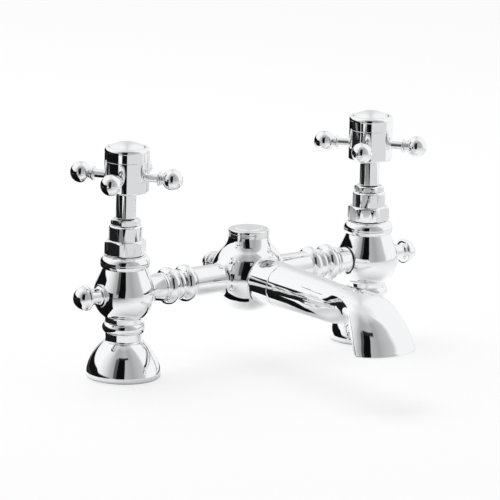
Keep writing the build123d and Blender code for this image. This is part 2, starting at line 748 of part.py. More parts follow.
def handle_hub():
    """Round hub with the spindle's square socket, the arms' holes and the cap's thread."""
    hub = turned(
        (0, HUB_BOTTOM),
        (HUB_R - HUB_CHAMFER, HUB_BOTTOM),
        (HUB_R, HUB_BOTTOM + HUB_CHAMFER, HUB_CHAMFER / 5),
        (HUB_R, HUB_TOP - JOINT_BEVEL),
        (HUB_R - JOINT_BEVEL, HUB_TOP),
        (HUB_CAVITY_R, HUB_TOP),
        (HUB_CAVITY_R, HUB_FLOOR),
        (0, HUB_FLOOR),
    )
    hub -= square(SPINDLE_SQUARE + 2 * THREAD_GAP, HUB_BOTTOM, HUB_FLOOR - SOCKET_ROOF)
    hub -= disc(SPINDLE_R + SHAFT_GAP, HUB_BOTTOM, HUB_BOTTOM + SPINDLE_NECK + SHAFT_GAP)
    hub -= disc(SCREW_R + SHAFT_GAP, HUB_BOTTOM, HUB_FLOOR)
    floor = ARM_ROOT - THREAD_GAP
    hole = Cylinder(ARM_ROD_R + THREAD_GAP, HUB_R + HUB_CHAMFER - floor)
    middle = (HUB_R + HUB_CHAMFER + floor) / 2
    for spot in PolarLocations(middle, ARM_COUNT):
        hub -= Pos(0, 0, ARM_HEIGHT) * spot * Rot(0, 90, 0) * hole
    return hub


def handle_arm():
    """One arm: rod, two rings and a ball, pointing up from the hub's centre."""
    neck = ARM_ROD_R + ARM_COLLAR
    step = ARM_COLLAR / 2
    ball_start = ARM_BALL_MID - sqrt(ARM_BALL_R**2 - neck**2)
    small = ball_start - JOINT_GAP
    large = small - ARM_RING_WIDTH
    return turned(
        (0, ARM_ROOT),
        (ARM_ROD_R, ARM_ROOT),
        (ARM_ROD_R, large - ARM_RING_WIDTH),
        (ARM_RING_R, large - ARM_RING_WIDTH + step, -step / 2),
        (ARM_RING_R, large, ARM_RING_WIDTH / 5),
        (neck, large + step),
        (ARM_SMALL_RING_R, large + 2 * step),
        (ARM_SMALL_RING_R, small - step, step),
        (neck, small),
        (neck, ball_start),
        (ARM_BALL_R, ARM_BALL_MID, ball_bulge(neck)),
        (0, ARM_BALL_MID + ARM_BALL_R, ARM_BALL_R * (1 - sqrt(0.5))),
    )


def ball_bulge(start_r):
    """Bulge of the ball's arc from a smaller radius to its widest."""
    chord = hypot(ARM_BALL_R - start_r, sqrt(ARM_BALL_R**2 - start_r**2))
    return ARM_BALL_R - sqrt(ARM_BALL_R**2 - chord**2 / 4)


def handle_arms():
    """All arms of one handle."""
    arm = Rot(0, 90, 0) * handle_arm()
    return [Pos(0, 0, ARM_HEIGHT) * spot * arm for spot in PolarLocations(0, ARM_COUNT)]


def handle_screw():
    """Screw that holds the hub on the spindle."""
    head_r = SCREW_R * 1.8
    top = HUB_FLOOR + SCREW_R * 1.1
    nip = SCREW_R / 5
    screw = turned(
        (0, HUB_FLOOR - HANDLE_SCREW_LENGTH),
        (SCREW_R, HUB_FLOOR - HANDLE_SCREW_LENGTH),
        (SCREW_R, HUB_FLOOR),
        (head_r, HUB_FLOOR),
        (head_r, top - nip),
        (head_r - nip, top, nip / 4),
        (0, top),
    )
    return screw - hexagon(SCREW_R * 1.5, top - SCREW_R * 0.6, top)


def handle_cap():
    """Screwed cap with a rounded shoulder and a recess for the index disc."""
    spigot = HUB_CAVITY_R - THREAD_GAP
    inside = spigot - CAP_SPIGOT_WALL
    seat = INDEX_R + THREAD_GAP
    hole = INDEX_PIN_R + THREAD_GAP
    return turned(
        (inside, HUB_TOP - CAP_SPIGOT),
        (spigot, HUB_TOP - CAP_SPIGOT),
        (spigot, HUB_TOP),
        (HUB_R - JOINT_BEVEL, HUB_TOP),
        (HUB_R, HUB_TOP + JOINT_BEVEL),
        (HUB_R, CAP_WALL_TOP),
        (INDEX_R + INDEX_LIP, CAP_RIM, CAP_ROUNDING * 0.29),
        (seat, CAP_RIM - JOINT_BEVEL),
        (seat, INDEX_FLOOR),
        (hole, INDEX_FLOOR),
        (hole, INDEX_FLOOR - CAP_FLOOR),
        (inside, INDEX_FLOOR - CAP_FLOOR),
    )


def index_disc():
    """Domed disc in the cap."""
    rim = CAP_RIM - INDEX_SINK
    apex = CAP_RIM + INDEX_RISE
    return turned(
        (0, INDEX_FLOOR - INDEX_PIN),
        (INDEX_PIN_R, INDEX_FLOOR - INDEX_PIN),
        (INDEX_PIN_R, INDEX_FLOOR),
        (INDEX_R, INDEX_FLOOR),
        (INDEX_R, rim),
        (0, apex, dome_bulge(INDEX_R, apex - rim)),
    )


# Centre pieces


def plain_arms():
    """Both arms of the crossbar, with their spigots, along +X and -X."""
    spigot_end = ARM_START + ARM_SPIGOT_LENGTH
    groove = ARM_START + ARM_SPIGOT_LENGTH / 2
    half = ARM_GROOVE_WIDTH / 2
    floor = ARM_SPIGOT_R - ARM_GROOVE_DEPTH
    arm = turned(
        (0, 0),
        (ARM_R, 0),
        (ARM_R, ARM_START),
        (ARM_SPIGOT_R, ARM_START),
        (ARM_SPIGOT_R, groove - half),
        (floor, groove - half),
        (floor, groove + half),
        (ARM_SPIGOT_R, groove + half),
        (ARM_SPIGOT_R, spigot_end),
        (0, spigot_end),
    )
    return [along_bar(arm), Rot(0, 0, 180) * along_bar(arm)]


def grub_place():
    """Place of the grub screw's axis, leaning to the left from the spout's axis."""
    return Pos(0, -GRUB_AHEAD, BAR) * Rot(0, -GRUB_TILT, 0)


def blend_edges(shape):
    """Circles where the arms, the neck and the collar leave the ball."""
    circles = shape.edges().filter_by(GeomType.CIRCLE)
    centre = Vector(0, 0, BAR)
    found = []
    for edge in circles:
        away = (edge.arc_center - centre).length
        on_ball = abs(hypot(away, edge.radius) - BALL_R) < 0.01
        if on_ball and edge.radius > FINIAL_THREAD_R:
            found.append(edge)
    return found


def centre_body():
    """Ball with two plain arms, a top neck and the spout's collar, hollow throughout."""
    body = Pos(0, 0, BAR) * Sphere(BALL_R)
    for arm in plain_arms():
        body += arm
    body += disc(TOP_NECK_R, BAR, TOP_NECK_TOP)
    body += to_front(disc(COLLAR_R, 0, COLLAR_END))
    body += Rot(0, 0, 180) * to_front(disc(REAR_BOSS_R, 0, REAR_BASE))
    body = fillet(blend_edges(body), BALL_BLEND)
    body -= Pos(0, 0, BAR) * Sphere(BALL_CAVITY_R)
    reach = ARM_START + ARM_SPIGOT_LENGTH
    body -= along_bar(disc(PORT_BORE_R, -reach, reach))
    body -= disc(TOP_THREAD_R + THREAD_GAP, BAR, TOP_NECK_TOP)
    body -= disc(TOP_SEAL_R, TOP_NECK_TOP - SEAL_HEIGHT, TOP_NECK_TOP)
    body -= to_front(disc(SPIGOT_R + THREAD_GAP, 0, COLLAR_END))
    depth = REAR_BASE - BALL_CAVITY_R + CUTTER_REACH
    body -= Rot(0, 0, 180) * to_front(finial_cut(REAR_BASE, depth))
    return body - grub_place() * disc(GRUB_R + THREAD_GAP, 0, COLLAR_R + BALL_BLEND)


def top_cap():
    """Blanking cap with a thin rim and a raised disc."""
    top = TOP_NECK_TOP + CAP_HEIGHT
    return turned(
        (0, TOP_NECK_TOP - CAP_SPIGOT_LENGTH),
        (TOP_THREAD_R, TOP_NECK_TOP - CAP_SPIGOT_LENGTH),
        (TOP_THREAD_R, TOP_NECK_TOP),
        (CAP_R - CAP_MARGIN, TOP_NECK_TOP),
        (CAP_R, TOP_NECK_TOP + CAP_MARGIN),
        (CAP_R, top - CAP_SHOULDER),
        (CAP_R - CAP_SHOULDER, top - JOINT_GAP, CAP_SHOULDER / 4),
        (CAP_DISC_R + CAP_DISC_RISE, top),
        (CAP_DISC_R, top + CAP_DISC_RISE),
        (0, top + 2 * CAP_DISC_RISE, dome_bulge(CAP_DISC_R, CAP_DISC_RISE)),
    )


def top_cap_seal():
    """O-ring under the top cap."""
    outer = TOP_SEAL_R - SEAL_GAP
    inner = TOP_THREAD_R + SEAL_GAP
    return soft_ring(outer, inner, TOP_NECK_TOP - SEAL_HEIGHT, TOP_NECK_TOP)


def spout_grub_screw():
    """Set screw with a hexagon socket, its point in the spigot's groove."""
    low = SPIGOT_R + SPOTFACE_GAP
    top = low + GRUB_HEIGHT
    point = GROOVE_FLOOR + SPOTFACE_GAP
    screw = turned(
        (0, point),
        (GRUB_POINT_R, point),
        (GRUB_POINT_R, low),
        (GRUB_R, low),
        (GRUB_R, top - SPOTFACE_GAP),
        (GRUB_R - SPOTFACE_GAP, top),
        (0, top),
    )
    return grub_place() * (screw - hexagon(GRUB_R, top - GRUB_SOCKET, top))


def half_points(half_width, depth, angle, count=9):
    """Points of one half of a section: a flattened arc from one ridge to the other."""
    turn = radians(angle)
    points = []
    for step in range(count):
        at = turn * (1 - 2 * step / (count - 1))
        across = half_width * sin(at) / sin(turn)
        out = depth * (cos(at) - cos(turn)) / (1 - cos(turn))
        points.append((across, out))
    return points


def spout_section(ahead, height, tilt, half_width, front, front_angle, back, back_angle, scale=1.0):
    """Closed section of the spout, scaled about the middle of its depth."""
    middle = (front - back) / 2
    tilted = radians(tilt)

    def place(across, out):
        away = middle + (out - middle) * scale
        return (across * scale, -ahead - away * sin(tilted), height + away * cos(tilted))

    outer = [place(x, y) for x, y in half_points(half_width, front, front_angle)]
    inner = [place(x, -y) for x, y in half_points(half_width, back, back_angle)]
    wire = Wire([Spline(*outer), Spline(*reversed(inner))])
    return wire


def barrel_size(ahead):
    """Radius of the round barrel at a distance ahead of the origin."""
    share = (ahead - COLLAR_END) / (BARREL_END - COLLAR_END)
    return COLLAR_R + (BARREL_END_R - COLLAR_R) * share


def barrel_section(ahead):
    """Section row of the round barrel, split at the height where the ridge will start."""
    radius = barrel_size(ahead)
    turn = radians(BARREL_RIDGE_ANGLE)
    ridge = radius * cos(turn)
    return (
        ahead,
        BAR + ridge,
        0.0,
        radius * sin(turn),
        radius - ridge,
        BARREL_RIDGE_ANGLE,
        radius + ridge,
        180 - BARREL_RIDGE_ANGLE,
    )


def row_middle(row):
    """Point halfway through a section's depth, ahead and up."""
    away = (row[4] - row[6]) / 2
    tilted = radians(row[2])
    return row[0] + away * sin(tilted), row[1] + away * cos(tilted)


def filled_in(rows):
    """Section rows a few millimetres apart on a smooth curve through the given ones."""
    middles = [row_middle(row) for row in rows]
    gaps = [dist(*pair) for pair in zip(middles, middles[1:])]
    last = len(rows) - 1
    slopes = []
    for at in range(len(rows)):
        low, high = max(at - 1, 0), min(at + 1, last)
        reach = sum(gaps[low:high])
        slopes.append([(b - a) / reach for a, b in zip(rows[low], rows[high])])
    fine = []
    for at, gap in enumerate(gaps):
        steps = max(1, round(gap / SECTION_SPACING))
        for step in range(steps):
            s = step / steps
            weights = (
                (1 + 2 * s) * (1 - s) ** 2,
                s**2 * (3 - 2 * s),
                gap * s * (1 - s) ** 2,
                gap * s**2 * (s - 1),
            )
            columns = zip(rows[at], rows[at + 1], slopes[at], slopes[at + 1])
            fine.append([sum(w * v for w, v in zip(weights, column)) for column in columns])
    return fine + [list(rows[last])]


def spout_rows(start):
    """All section rows from a start plane to the mouth."""
    stations = [start + (BARREL_END - start) * share for share in (0, 0.35, 0.7, 1)]
    hood = [(BARREL_END + ahead, BAR + above, *shape) for ahead, above, *shape in HOOD]
    return filled_in([barrel_section(ahead) for ahead in stations] + hood)


def spout_loft(start, wall):
    """Loft from the barrel's start to the mouth, shrunk all round by a wall."""
    wires = []
    for row in spout_rows(start):
        depth = (row[4] + row[6]) / 2
        wires.append(spout_section(*row, scale=(depth - wall) / depth))
    return Solid.make_loft(wires)


def spout_spigot():
    """Spigot with grooves for the grub screw and the O-ring, pointing to the ball."""
    end = COLLAR_END - SPIGOT_LENGTH
    half = GRUB_POINT_R + SPOTFACE_GAP
    seal_half = ARM_GROOVE_WIDTH / 2
    nip = SPOTFACE_GAP * 2
    return turned(
        (SPIGOT_BORE_R, end),
        (SPIGOT_R - nip, end),
        (SPIGOT_R, end + nip),
        (SPIGOT_R, GRUB_AHEAD - half),
        (GROOVE_FLOOR, GRUB_AHEAD - half),
        (GROOVE_FLOOR, GRUB_AHEAD + half),
        (SPIGOT_R, GRUB_AHEAD + half),
        (SPIGOT_R, SEAL_MID - seal_half),
        (SPIGOT_R - ARM_GROOVE_DEPTH, SEAL_MID - seal_half),
        (SPIGOT_R - ARM_GROOVE_DEPTH, SEAL_MID + seal_half),
        (SPIGOT_R, SEAL_MID + seal_half),
        (SPIGOT_R, COLLAR_END),
        (SPIGOT_R, COLLAR_END + seal_half),
        (SPIGOT_BORE_R, COLLAR_END + seal_half),
    )


def spout_seal():
    """O-ring on the spout's spigot."""
    inner = SPIGOT_R - ARM_GROOVE_DEPTH + SEAL_GAP / 2
    half = ARM_GROOVE_WIDTH / 2 - SEAL_GAP
    return to_front(soft_ring(SPIGOT_R, inner, SEAL_MID - half, SEAL_MID + half))


def spout():
    """Round barrel that turns down into a hood with a wide mouth, hollow from end to end."""
    start = COLLAR_END + SPOUT_FLOOR
    body = spout_loft(COLLAR_END, 0) + to_front(spout_spigot())
    body -= spout_loft(start, SPOUT_WALL)
    return body - to_front(disc(SPIGOT_BORE_R, 0, start + SEAT_GAP))


SIDE_PIECES = {
    "foot_bell": foot_bell,
    "foot_gasket": foot_gasket,
    "foot_seal": foot_seal,
    "pillar_body": pillar_body,
    "side_finial": lambda: Rot(0, 0, 180) * along_bar(finial(FINIAL_BASE)),
    "union_ring": lambda: along_bar(union_ring()),
    "connector_seal": lambda: along_bar(connector_seal()),
    "beaded_connector": lambda: along_bar(beaded_connector()),
    "arm_seal": lambda: along_bar(arm_seal()),
    "headwork_seal": headwork_seal,
    "gland_packing": gland_packing,
    "spindle_circlip": spindle_circlip,
    "thrust_washer": thrust_washer,
    "tap_washer": tap_washer,
    "washer_screw": washer_screw,
    "stem_sleeve": stem_sleeve,
    "handle_cap": handle_cap,
    "index_disc": index_disc,
}
HEX_PIECES = {"headwork_body": headwork_body, "gland_nut": gland_nut, "jumper": jumper}
HANDLE_PIECES = {"spindle": spindle, "handle_hub": handle_hub, "handle_screw": handle_screw}
CENTRE_PIECES = {
    "centre_body": centre_body,
    "top_cap": top_cap,
    "top_cap_seal": top_cap_seal,
    "rear_finial": lambda: Rot(0, 0, 180) * to_front(finial(REAR_BASE)),
    "spout": spout,
    "spout_seal": spout_seal,
    "spout_grub_screw": spout_grub_screw,
}


def save_group(pieces, prefix, place):
    """Make a group of pieces once and write each under its prefix and place."""
    for name, make in pieces.items():
        save(prefix + name, place * make())


for node, make in CENTRE_PIECES.items():
    save(node, make())

for index, (side, sign) in enumerate(SIDES):
    pillar = Pos(sign * PILLAR_SPACING / 2, 0, 0)
    facing = pillar * Rot(0, 0, 0 if sign < 0 else 180)
    arms_turn = pillar * Rot(0, 0, ARM_ANGLES[index])
    save_group(SIDE_PIECES, side + "_", facing)
    save_group(HEX_PIECES, side + "_", pillar * Rot(0, 0, HEX_ANGLES[index]))
    save_group(HANDLE_PIECES, side + "_", arms_turn)
    save(side + "_handle_arms", *[arms_turn * arm for arm in handle_arms()])
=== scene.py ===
"""Bath filler mixer: chromed pillars, crossbar, spout and crosshead handles, with their studio.

Frame: origin on the deck midway between the pillars, X along the crossbar, -Y towards the
spout, +Z up. Shapes are written in millimetres and turned to metres when their mesh is made.
"""

import json
from math import asin, atan, atan2, ceil, cos, dist, hypot, pi, radians, sin, sqrt, tan

import bmesh
import bpy
from bpy.props import FloatProperty, FloatVectorProperty, IntProperty, PointerProperty
from mathutils import Matrix, Vector


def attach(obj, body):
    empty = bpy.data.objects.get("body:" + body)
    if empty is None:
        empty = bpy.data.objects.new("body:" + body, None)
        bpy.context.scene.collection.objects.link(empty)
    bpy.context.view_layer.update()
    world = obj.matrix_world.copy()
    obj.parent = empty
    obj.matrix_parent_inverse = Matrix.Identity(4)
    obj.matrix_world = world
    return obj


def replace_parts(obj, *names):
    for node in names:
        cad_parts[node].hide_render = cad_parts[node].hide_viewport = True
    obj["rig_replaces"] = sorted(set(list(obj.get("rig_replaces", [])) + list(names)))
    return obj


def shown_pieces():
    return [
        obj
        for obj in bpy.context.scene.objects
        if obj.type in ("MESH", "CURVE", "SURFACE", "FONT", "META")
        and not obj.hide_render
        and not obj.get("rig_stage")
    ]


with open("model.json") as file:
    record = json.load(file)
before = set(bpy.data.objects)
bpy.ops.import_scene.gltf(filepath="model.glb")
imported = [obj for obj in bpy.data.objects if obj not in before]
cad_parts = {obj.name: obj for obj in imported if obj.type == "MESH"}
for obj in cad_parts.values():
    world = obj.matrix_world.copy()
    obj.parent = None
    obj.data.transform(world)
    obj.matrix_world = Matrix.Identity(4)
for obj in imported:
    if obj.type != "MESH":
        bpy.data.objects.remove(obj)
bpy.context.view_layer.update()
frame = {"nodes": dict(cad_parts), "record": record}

bl_info = {
    "name": "Bath Filler Mixer",
    "version": (1, 0, 0),
    "blender": (4, 5, 0),
    "location": "3D View > Sidebar > Bath Filler",
    "description": "Makes the chromed pieces of a two-pillar bath filler mixer and its studio",
    "category": "Object",
}

MM = 0.001
# Points nearer than this, in metres, are one
MERGE = 0.5e-6
SIDES = (("left", -1), ("right", 1))
SQUARE_CORNERS = ((-1, -1), (1, -1), (1, 1), (-1, 1))
BODY_OF = {node: body for body, nodes in frame["record"]["behaviour"]["bodies"].items() for node in nodes}
SLOT_OF = {part["node"]: part["material_slot"] for part in frame["record"]["subparts"]}

PILLAR_X = 90.0
BAR_HEIGHT = 51.0
# How far the hexagons and the handles are turned on each pillar, in degrees
HEX_ANGLES = {"left": -20.6, "right": -46.0}
ARM_ANGLES = {"left": -53.6, "right": -47.9}


def linear(hexed):
    """Linear RGB of an sRGB hex colour."""
    parts = [int(hexed[at:at + 2], 16) / 255 for at in (0, 2, 4)]
    return [c / 12.92 if c <= 0.04045 else ((c + 0.055) / 1.055) ** 2.4 for c in parts]


# Settings that a user would change


def length(name, description, default, **limits):
    """Property for a length, from millimetres."""
    limits = {key: value * MM for key, value in limits.items()}
    return FloatProperty(
        name=name, description=description, default=default * MM, unit="LENGTH", precision=5, **limits
    )


def colour(name, description, hexed):
    """Property for a colour, from sRGB hex."""
    return FloatVectorProperty(
        name=name, description=description, subtype="COLOR", default=linear(hexed), min=0, max=1
    )


def angle(name, description, degrees):
    """Property for an angle, from degrees."""
    return FloatProperty(name=name, description=description, default=radians(degrees), subtype="ANGLE")


class ShapeSettings(bpy.types.PropertyGroup):
    """How finely the pieces are made and how round their edges are."""

    around: IntProperty(
        name="Steps around", description="Faces round a large turned piece", default=144, min=24, max=360
    )
    around_small: IntProperty(
        name="Steps around, small", description="Faces round a small piece", default=72, min=16, max=240
    )
    soft: length("Edge rounding", "Rounding that polishing leaves on an edge", 0.25, min=0.02, max=1)
    arms: IntProperty(name="Handle arms", description="Arms on each crosshead", default=4, min=3, max=6)
    section_step: length("Spout step", "Distance between the spout's sections", 1.2, min=0.4, max=5)


class ThreadSettings(bpy.types.PropertyGroup):
    """Screw threads of the inlets and the headworks."""

    inlet_pitch: length("Inlet pitch", "Pitch of the three-quarter inch inlet thread", 1.814)
    inlet_depth: length("Inlet thread depth", "Height of the inlet thread's ridge", 1.16)
    fine_pitch: length("Fine pitch", "Pitch of the headworks' and gland nuts' threads", 1.0)


class FinishSettings(bpy.types.PropertyGroup):
    """Colours and polish."""

    chrome: colour("Chrome", "Reflection colour of the chrome plate", "F9FAFB")
    brass: colour("Brass", "Reflection colour of the turned brass", "D9B36A")
    steel: colour("Steel", "Reflection colour of the stainless steel", "C6C5C2")
    rubber: colour("Rubber", "Colour of the seals", "1E1F20")
    ptfe: colour("PTFE", "Colour of the packing and the thrust washers", "EDEBE4")
    polish: FloatProperty(
        name="Polish", description="Roughness of the polished chrome", default=0.035, min=0, max=1
    )


class StageSettings(bpy.types.PropertyGroup):
    """Floor, light and camera."""

    floor: colour("Floor", "Colour of the floor", "F4F4F4")
    key: FloatProperty(name="Key light", description="Power of the soft light", default=9.0, unit="POWER")
    azimuth: angle("Camera azimuth", "Direction of the camera round the mixer, from the front", -36.67)
    elevation: angle("Camera elevation", "Height of the camera above the horizon", 12.97)
    roll: angle("Camera roll", "Tilt of the picture", 1.30)
    distance: FloatProperty(
        name="Camera distance", description="From the middle of the mixer", default=3.119, unit="LENGTH"
    )
    lens: FloatProperty(name="Lens", description="Focal length in millimetres", default=376.4)


class MixerSettings(bpy.types.PropertyGroup):
    """All settings of the mixer."""

    shape: PointerProperty(type=ShapeSettings)
    threads: PointerProperty(type=ThreadSettings)
    finish: PointerProperty(type=FinishSettings)
    stage: PointerProperty(type=StageSettings)


def chosen():
    """The scene's settings."""
    return bpy.context.scene.bath_filler


# Node trees


def add(tree, kind, inputs=(), **settings):
    """Add a node with its settings, and set or link its inputs, given in order or by name.

    A node given as an input stands for its first output.
    """
    made = tree.nodes.new(kind)
    for name, value in settings.items():
        setattr(made, name, value)
    for name, value in inputs.items() if isinstance(inputs, dict) else enumerate(inputs):
        if isinstance(value, bpy.types.Node):
            value = value.outputs[0]
        if isinstance(value, bpy.types.NodeSocket):
            tree.links.new(value, made.inputs[name])
        else:
            made.inputs[name].default_value = value
    return made


def turn_round(tree, given):
    """Sweep an outline of edges, drawn in the X-Z plane, once round the Z axis."""
    centre = 1 * MM
    outline_curve = add(tree, "GeometryNodeMeshToCurve", {"Mesh": given["Geometry"]})
    upright = add(tree, "GeometryNodeTransform", {
        "Geometry": outline_curve, "Rotation": (pi / 2, 0, 0), "Translation": (-centre, 0, 0),
    })
    circle = add(tree, "GeometryNodeCurvePrimitiveCircle", {"Resolution": given["Steps"], "Radius": centre})
    swept = add(tree, "GeometryNodeCurveToMesh", {"Curve": circle, "Profile Curve": upright})
    return add(tree, "GeometryNodeMergeByDistance", {"Geometry": swept, "Distance": MERGE})


def set_round(tree, given):
    """Turn one arm from its outline and set copies of it round a hub."""
    arm = add(
        tree, "GeometryNodeGroup", {"Geometry": given["Geometry"], "Steps": given["Steps"]},
        node_tree=tree_of("Turned on a lathe"),
    )
    lying = add(tree, "GeometryNodeTransform", {"Geometry": arm, "Rotation": (0, pi / 2, 0)})
    places = add(tree, "GeometryNodePoints", {"Count": given["Count"]})
    index = add(tree, "GeometryNodeInputIndex")
    share = add(tree, "ShaderNodeMath", (index, given["Count"]), operation="DIVIDE")
    turn = add(tree, "ShaderNodeMath", (share, 2 * pi), operation="MULTIPLY")
    angles = add(tree, "ShaderNodeCombineXYZ", {"Z": turn})
    turned_to = add(tree, "FunctionNodeEulerToRotation", {"Euler": angles})
    arms = add(tree, "GeometryNodeInstanceOnPoints", {
        "Points": places, "Instance": lying, "Rotation": turned_to,
    })
    up = add(tree, "ShaderNodeCombineXYZ", {"Z": given["Height"]})
    return add(tree, "GeometryNodeTransform", {"Geometry": arms, "Translation": up})


def wind_ridge(tree, given):
    """Wind a thread's ridge up the Z axis, fading in and out at its ends."""
    turns = add(tree, "ShaderNodeMath", (given["Length"], given["Pitch"]), operation="DIVIDE")
    helix = add(tree, "GeometryNodeCurveSpiral", {
        "Resolution": given["Steps"], "Rotations": turns, "Start Radius": given["Radius"],
        "End Radius": given["Radius"], "Height": given["Length"],
    })
    level = add(tree, "GeometryNodeSetCurveNormal", {"Curve": helix}, mode="Z_UP")
    along = add(tree, "GeometryNodeSplineParameter").outputs["Factor"]
    back = add(tree, "ShaderNodeMath", (1.0, along), operation="SUBTRACT")
    nearer = add(tree, "ShaderNodeMath", (along, back), operation="MINIMUM")
    in_turns = add(tree, "ShaderNodeMath", (nearer, turns), operation="MULTIPLY")
    fade = add(tree, "ShaderNodeMapRange", {"Value": in_turns, "From Max": 0.35, "To Min": 0.02})
    sized = add(tree, "GeometryNodeSetCurveRadius", {"Curve": level, "Radius": fade})
    root = add(tree, "ShaderNodeMath", (given["Pitch"], 0.92), operation="MULTIPLY")
    crest = add(tree, "ShaderNodeMath", (given["Pitch"], 0.14), operation="MULTIPLY")
    ridge = add(tree, "GeometryNodeCurvePrimitiveQuadrilateral", {
        "Bottom Width": root, "Top Width": crest, "Height": given["Depth"], "Offset": 0.0,
    }, mode="TRAPEZOID")
    crest_way = add(tree, "ShaderNodeCombineXYZ", {"Z": given["Crest Turn"]})
    facing = add(tree, "GeometryNodeTransform", {"Geometry": ridge, "Rotation": crest_way})
    swept = add(tree, "GeometryNodeCurveToMesh", {
        "Curve": sized, "Profile Curve": facing, "Scale": fade, "Fill Caps": True,
    })
    lift = add(tree, "ShaderNodeCombineXYZ", {"Z": given["Bottom"]})
    return add(tree, "GeometryNodeTransform", {"Geometry": swept, "Translation": lift})


# Each geometry tree's inputs besides its geometry, and the function that fills it
TREES = {
    "Turned on a lathe": ({"Steps": "Int"}, turn_round),
    "Arms round a hub": ({"Steps": "Int", "Count": "Int", "Height": "Float"}, set_round),
    "Screw thread": ({
        "Radius": "Float", "Depth": "Float", "Pitch": "Float", "Length": "Float", "Bottom": "Float",
        "Crest Turn": "Float", "Steps": "Int",
    }, wind_ridge),
}


def tree_of(name):
    """The geometry tree of a name, made the first time that it is asked for."""
    if name in bpy.data.node_groups:
        return bpy.data.node_groups[name]
    sockets, fill = TREES[name]
    tree = bpy.data.node_groups.new(name, "GeometryNodeTree")
    for label, kind in {"Geometry": "Geometry", **sockets}.items():
        tree.interface.new_socket(label, in_out="INPUT", socket_type="NodeSocket" + kind)
    tree.interface.new_socket("Geometry", in_out="OUTPUT", socket_type="NodeSocketGeometry")
    last = fill(tree, add(tree, "NodeGroupInput").outputs)
    real = add(tree, "GeometryNodeRealizeInstances", {"Geometry": last})
    smooth = add(tree, "GeometryNodeSetShadeSmooth", {"Geometry": real})
    add(tree, "NodeGroupOutput", {"Geometry": smooth})
    return tree


# Meshes


def made_object(name, verts, edges=(), faces=()):
    """New object in the scene from points in metres."""
    mesh = bpy.data.meshes.new(name)
    mesh.from_pydata([tuple(v) for v in verts], list(edges), [tuple(f) for f in faces])
    made = bpy.data.objects.new(name, mesh)
    bpy.context.scene.collection.objects.link(made)
    return made


def bake(piece):
    """Turn a piece's modifiers into its plain mesh."""
    graph = bpy.context.evaluated_depsgraph_get()
    mesh = bpy.data.meshes.new_from_object(piece.evaluated_get(graph))
    piece.modifiers.clear()
    piece.data = mesh
    if not mesh.polygons:
        raise RuntimeError(piece.name + " came out empty")
    return piece


def run_tree(piece, name, values):
    """Give a piece a geometry tree with its inputs and bake it."""
    modifier = piece.modifiers.new(name, "NODES")
    modifier.node_group = tree_of(name)
    for item in modifier.node_group.interface.items_tree:
        if item.in_out == "INPUT" and item.name in values:
            modifier[item.identifier] = values[item.name]
    return bake(piece)


def soften(piece, crease):
    """Shade a piece smooth up to a crease in degrees."""
    piece.data.shade_smooth()
    piece.data.set_sharp_from_angle(angle=radians(crease))
    return piece


def joined(piece, *others, merge=0, outwards=False):
    """Add other meshes to a piece's mesh, merge doubles and turn faces outwards."""
    work = bmesh.new()
    for part in (piece, *others):
        work.from_mesh(part.data)
    if merge:
        bmesh.ops.remove_doubles(work, verts=work.verts, dist=merge)
    if outwards:
        bmesh.ops.recalc_face_normals(work, faces=work.faces)
    work.to_mesh(piece.data)
    work.free()
    for other in others:
        bpy.data.objects.remove(other)
    return piece


def tidy_mesh(piece, place=Matrix.Identity(4), crease=38):
    """Clean a piece's mesh, apply a place and shade smooth."""
    joined(piece, merge=MERGE, outwards=True)
    piece.data.transform(place)
    return soften(piece, crease)


def cut(piece, *tools):
    """Cut pieces out of a piece one by one, remove them and shade the piece again."""
    for tool in tools:
        modifier = piece.modifiers.new("Cut", "BOOLEAN")
        modifier.operation = "DIFFERENCE"
        modifier.solver = "EXACT"
        modifier.object = tool
        bake(piece)
        bpy.data.objects.remove(tool)
    return soften(piece, 30)


def dress(piece, node, finish):
    """Let a finished piece stand for its CAD node, with its material and body."""
    piece.name = node + ".finished"
    piece.data.materials.clear()
    piece.data.materials.append(FINISHES[finish])
    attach(piece, BODY_OF[node])
    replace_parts(piece, node)
    return piece


# Outlines of turned pieces


def arc(start, end, bulge):
    """Points between two outline steps on an arc that bulges to the right of the way."""
    half = (end - start).length / 2
    radius = (half**2 + bulge**2) / (2 * abs(bulge))
    side = Vector((end.y - start.y, start.x - end.x)).normalized() * (1 if bulge > 0 else -1)
    centre = (start + end) / 2 - side * (radius - abs(bulge))
    first = atan2(start.y - centre.y, start.x - centre.x)
    last = atan2(end.y - centre.y, end.x - centre.x)
    sweep = (last - first + pi) % (2 * pi) - pi
    step = 2.2 if radius > 8 else 4 if radius > 2 else 9
    count = max(3, ceil(abs(sweep) / radians(step)))
    angles = [first + sweep * at / count for at in range(1, count)]
    return [centre + Vector((cos(a), sin(a))) * radius for a in angles]


def rounded(points, corners, soft, closed, every=False):
    """Outline whose marked corners are replaced by small roundings."""
    last = len(points) - 1
    result = []
    for at, here in enumerate(points):
        into = here - points[at - 1]
        out = points[(at + 1) % (last + 1)] - here
        end = not closed and at in (0, last)
        if end or at not in corners or (not every and into.angle(out) < radians(10)):
            result.append(here)
            continue
        size = min(soft, 0.42 * into.length, 0.42 * out.length)
        start = here - into.normalized() * size
        finish = here + out.normalized() * size
        # A step on either side keeps the rounding's shading off a long straight
        if into.length > 4 * size:
            result.append(start - into.normalized() * size * 0.6)
        for s in (0, 0.25, 0.5, 0.75, 1):
            result.append(start * (1 - s) ** 2 + here * (2 * s * (1 - s)) + finish * s**2)
        if out.length > 4 * size:
            result.append(finish + out.normalized() * size * 0.6)
    return result


def outline(steps, closed=True, soft=None):
    """Outline points from (radius, height[, bulge]) steps, with arcs and rounded corners."""
    points, corners = [], set()
    for step in steps:
        here = Vector(step[:2])
        if len(step) > 2 and points:
            points += arc(points[-1], here, step[2])
        corners.add(len(points))
        points.append(here)
    size = chosen().shape.soft / MM if soft is None else soft
    return rounded(points, corners, size, closed)


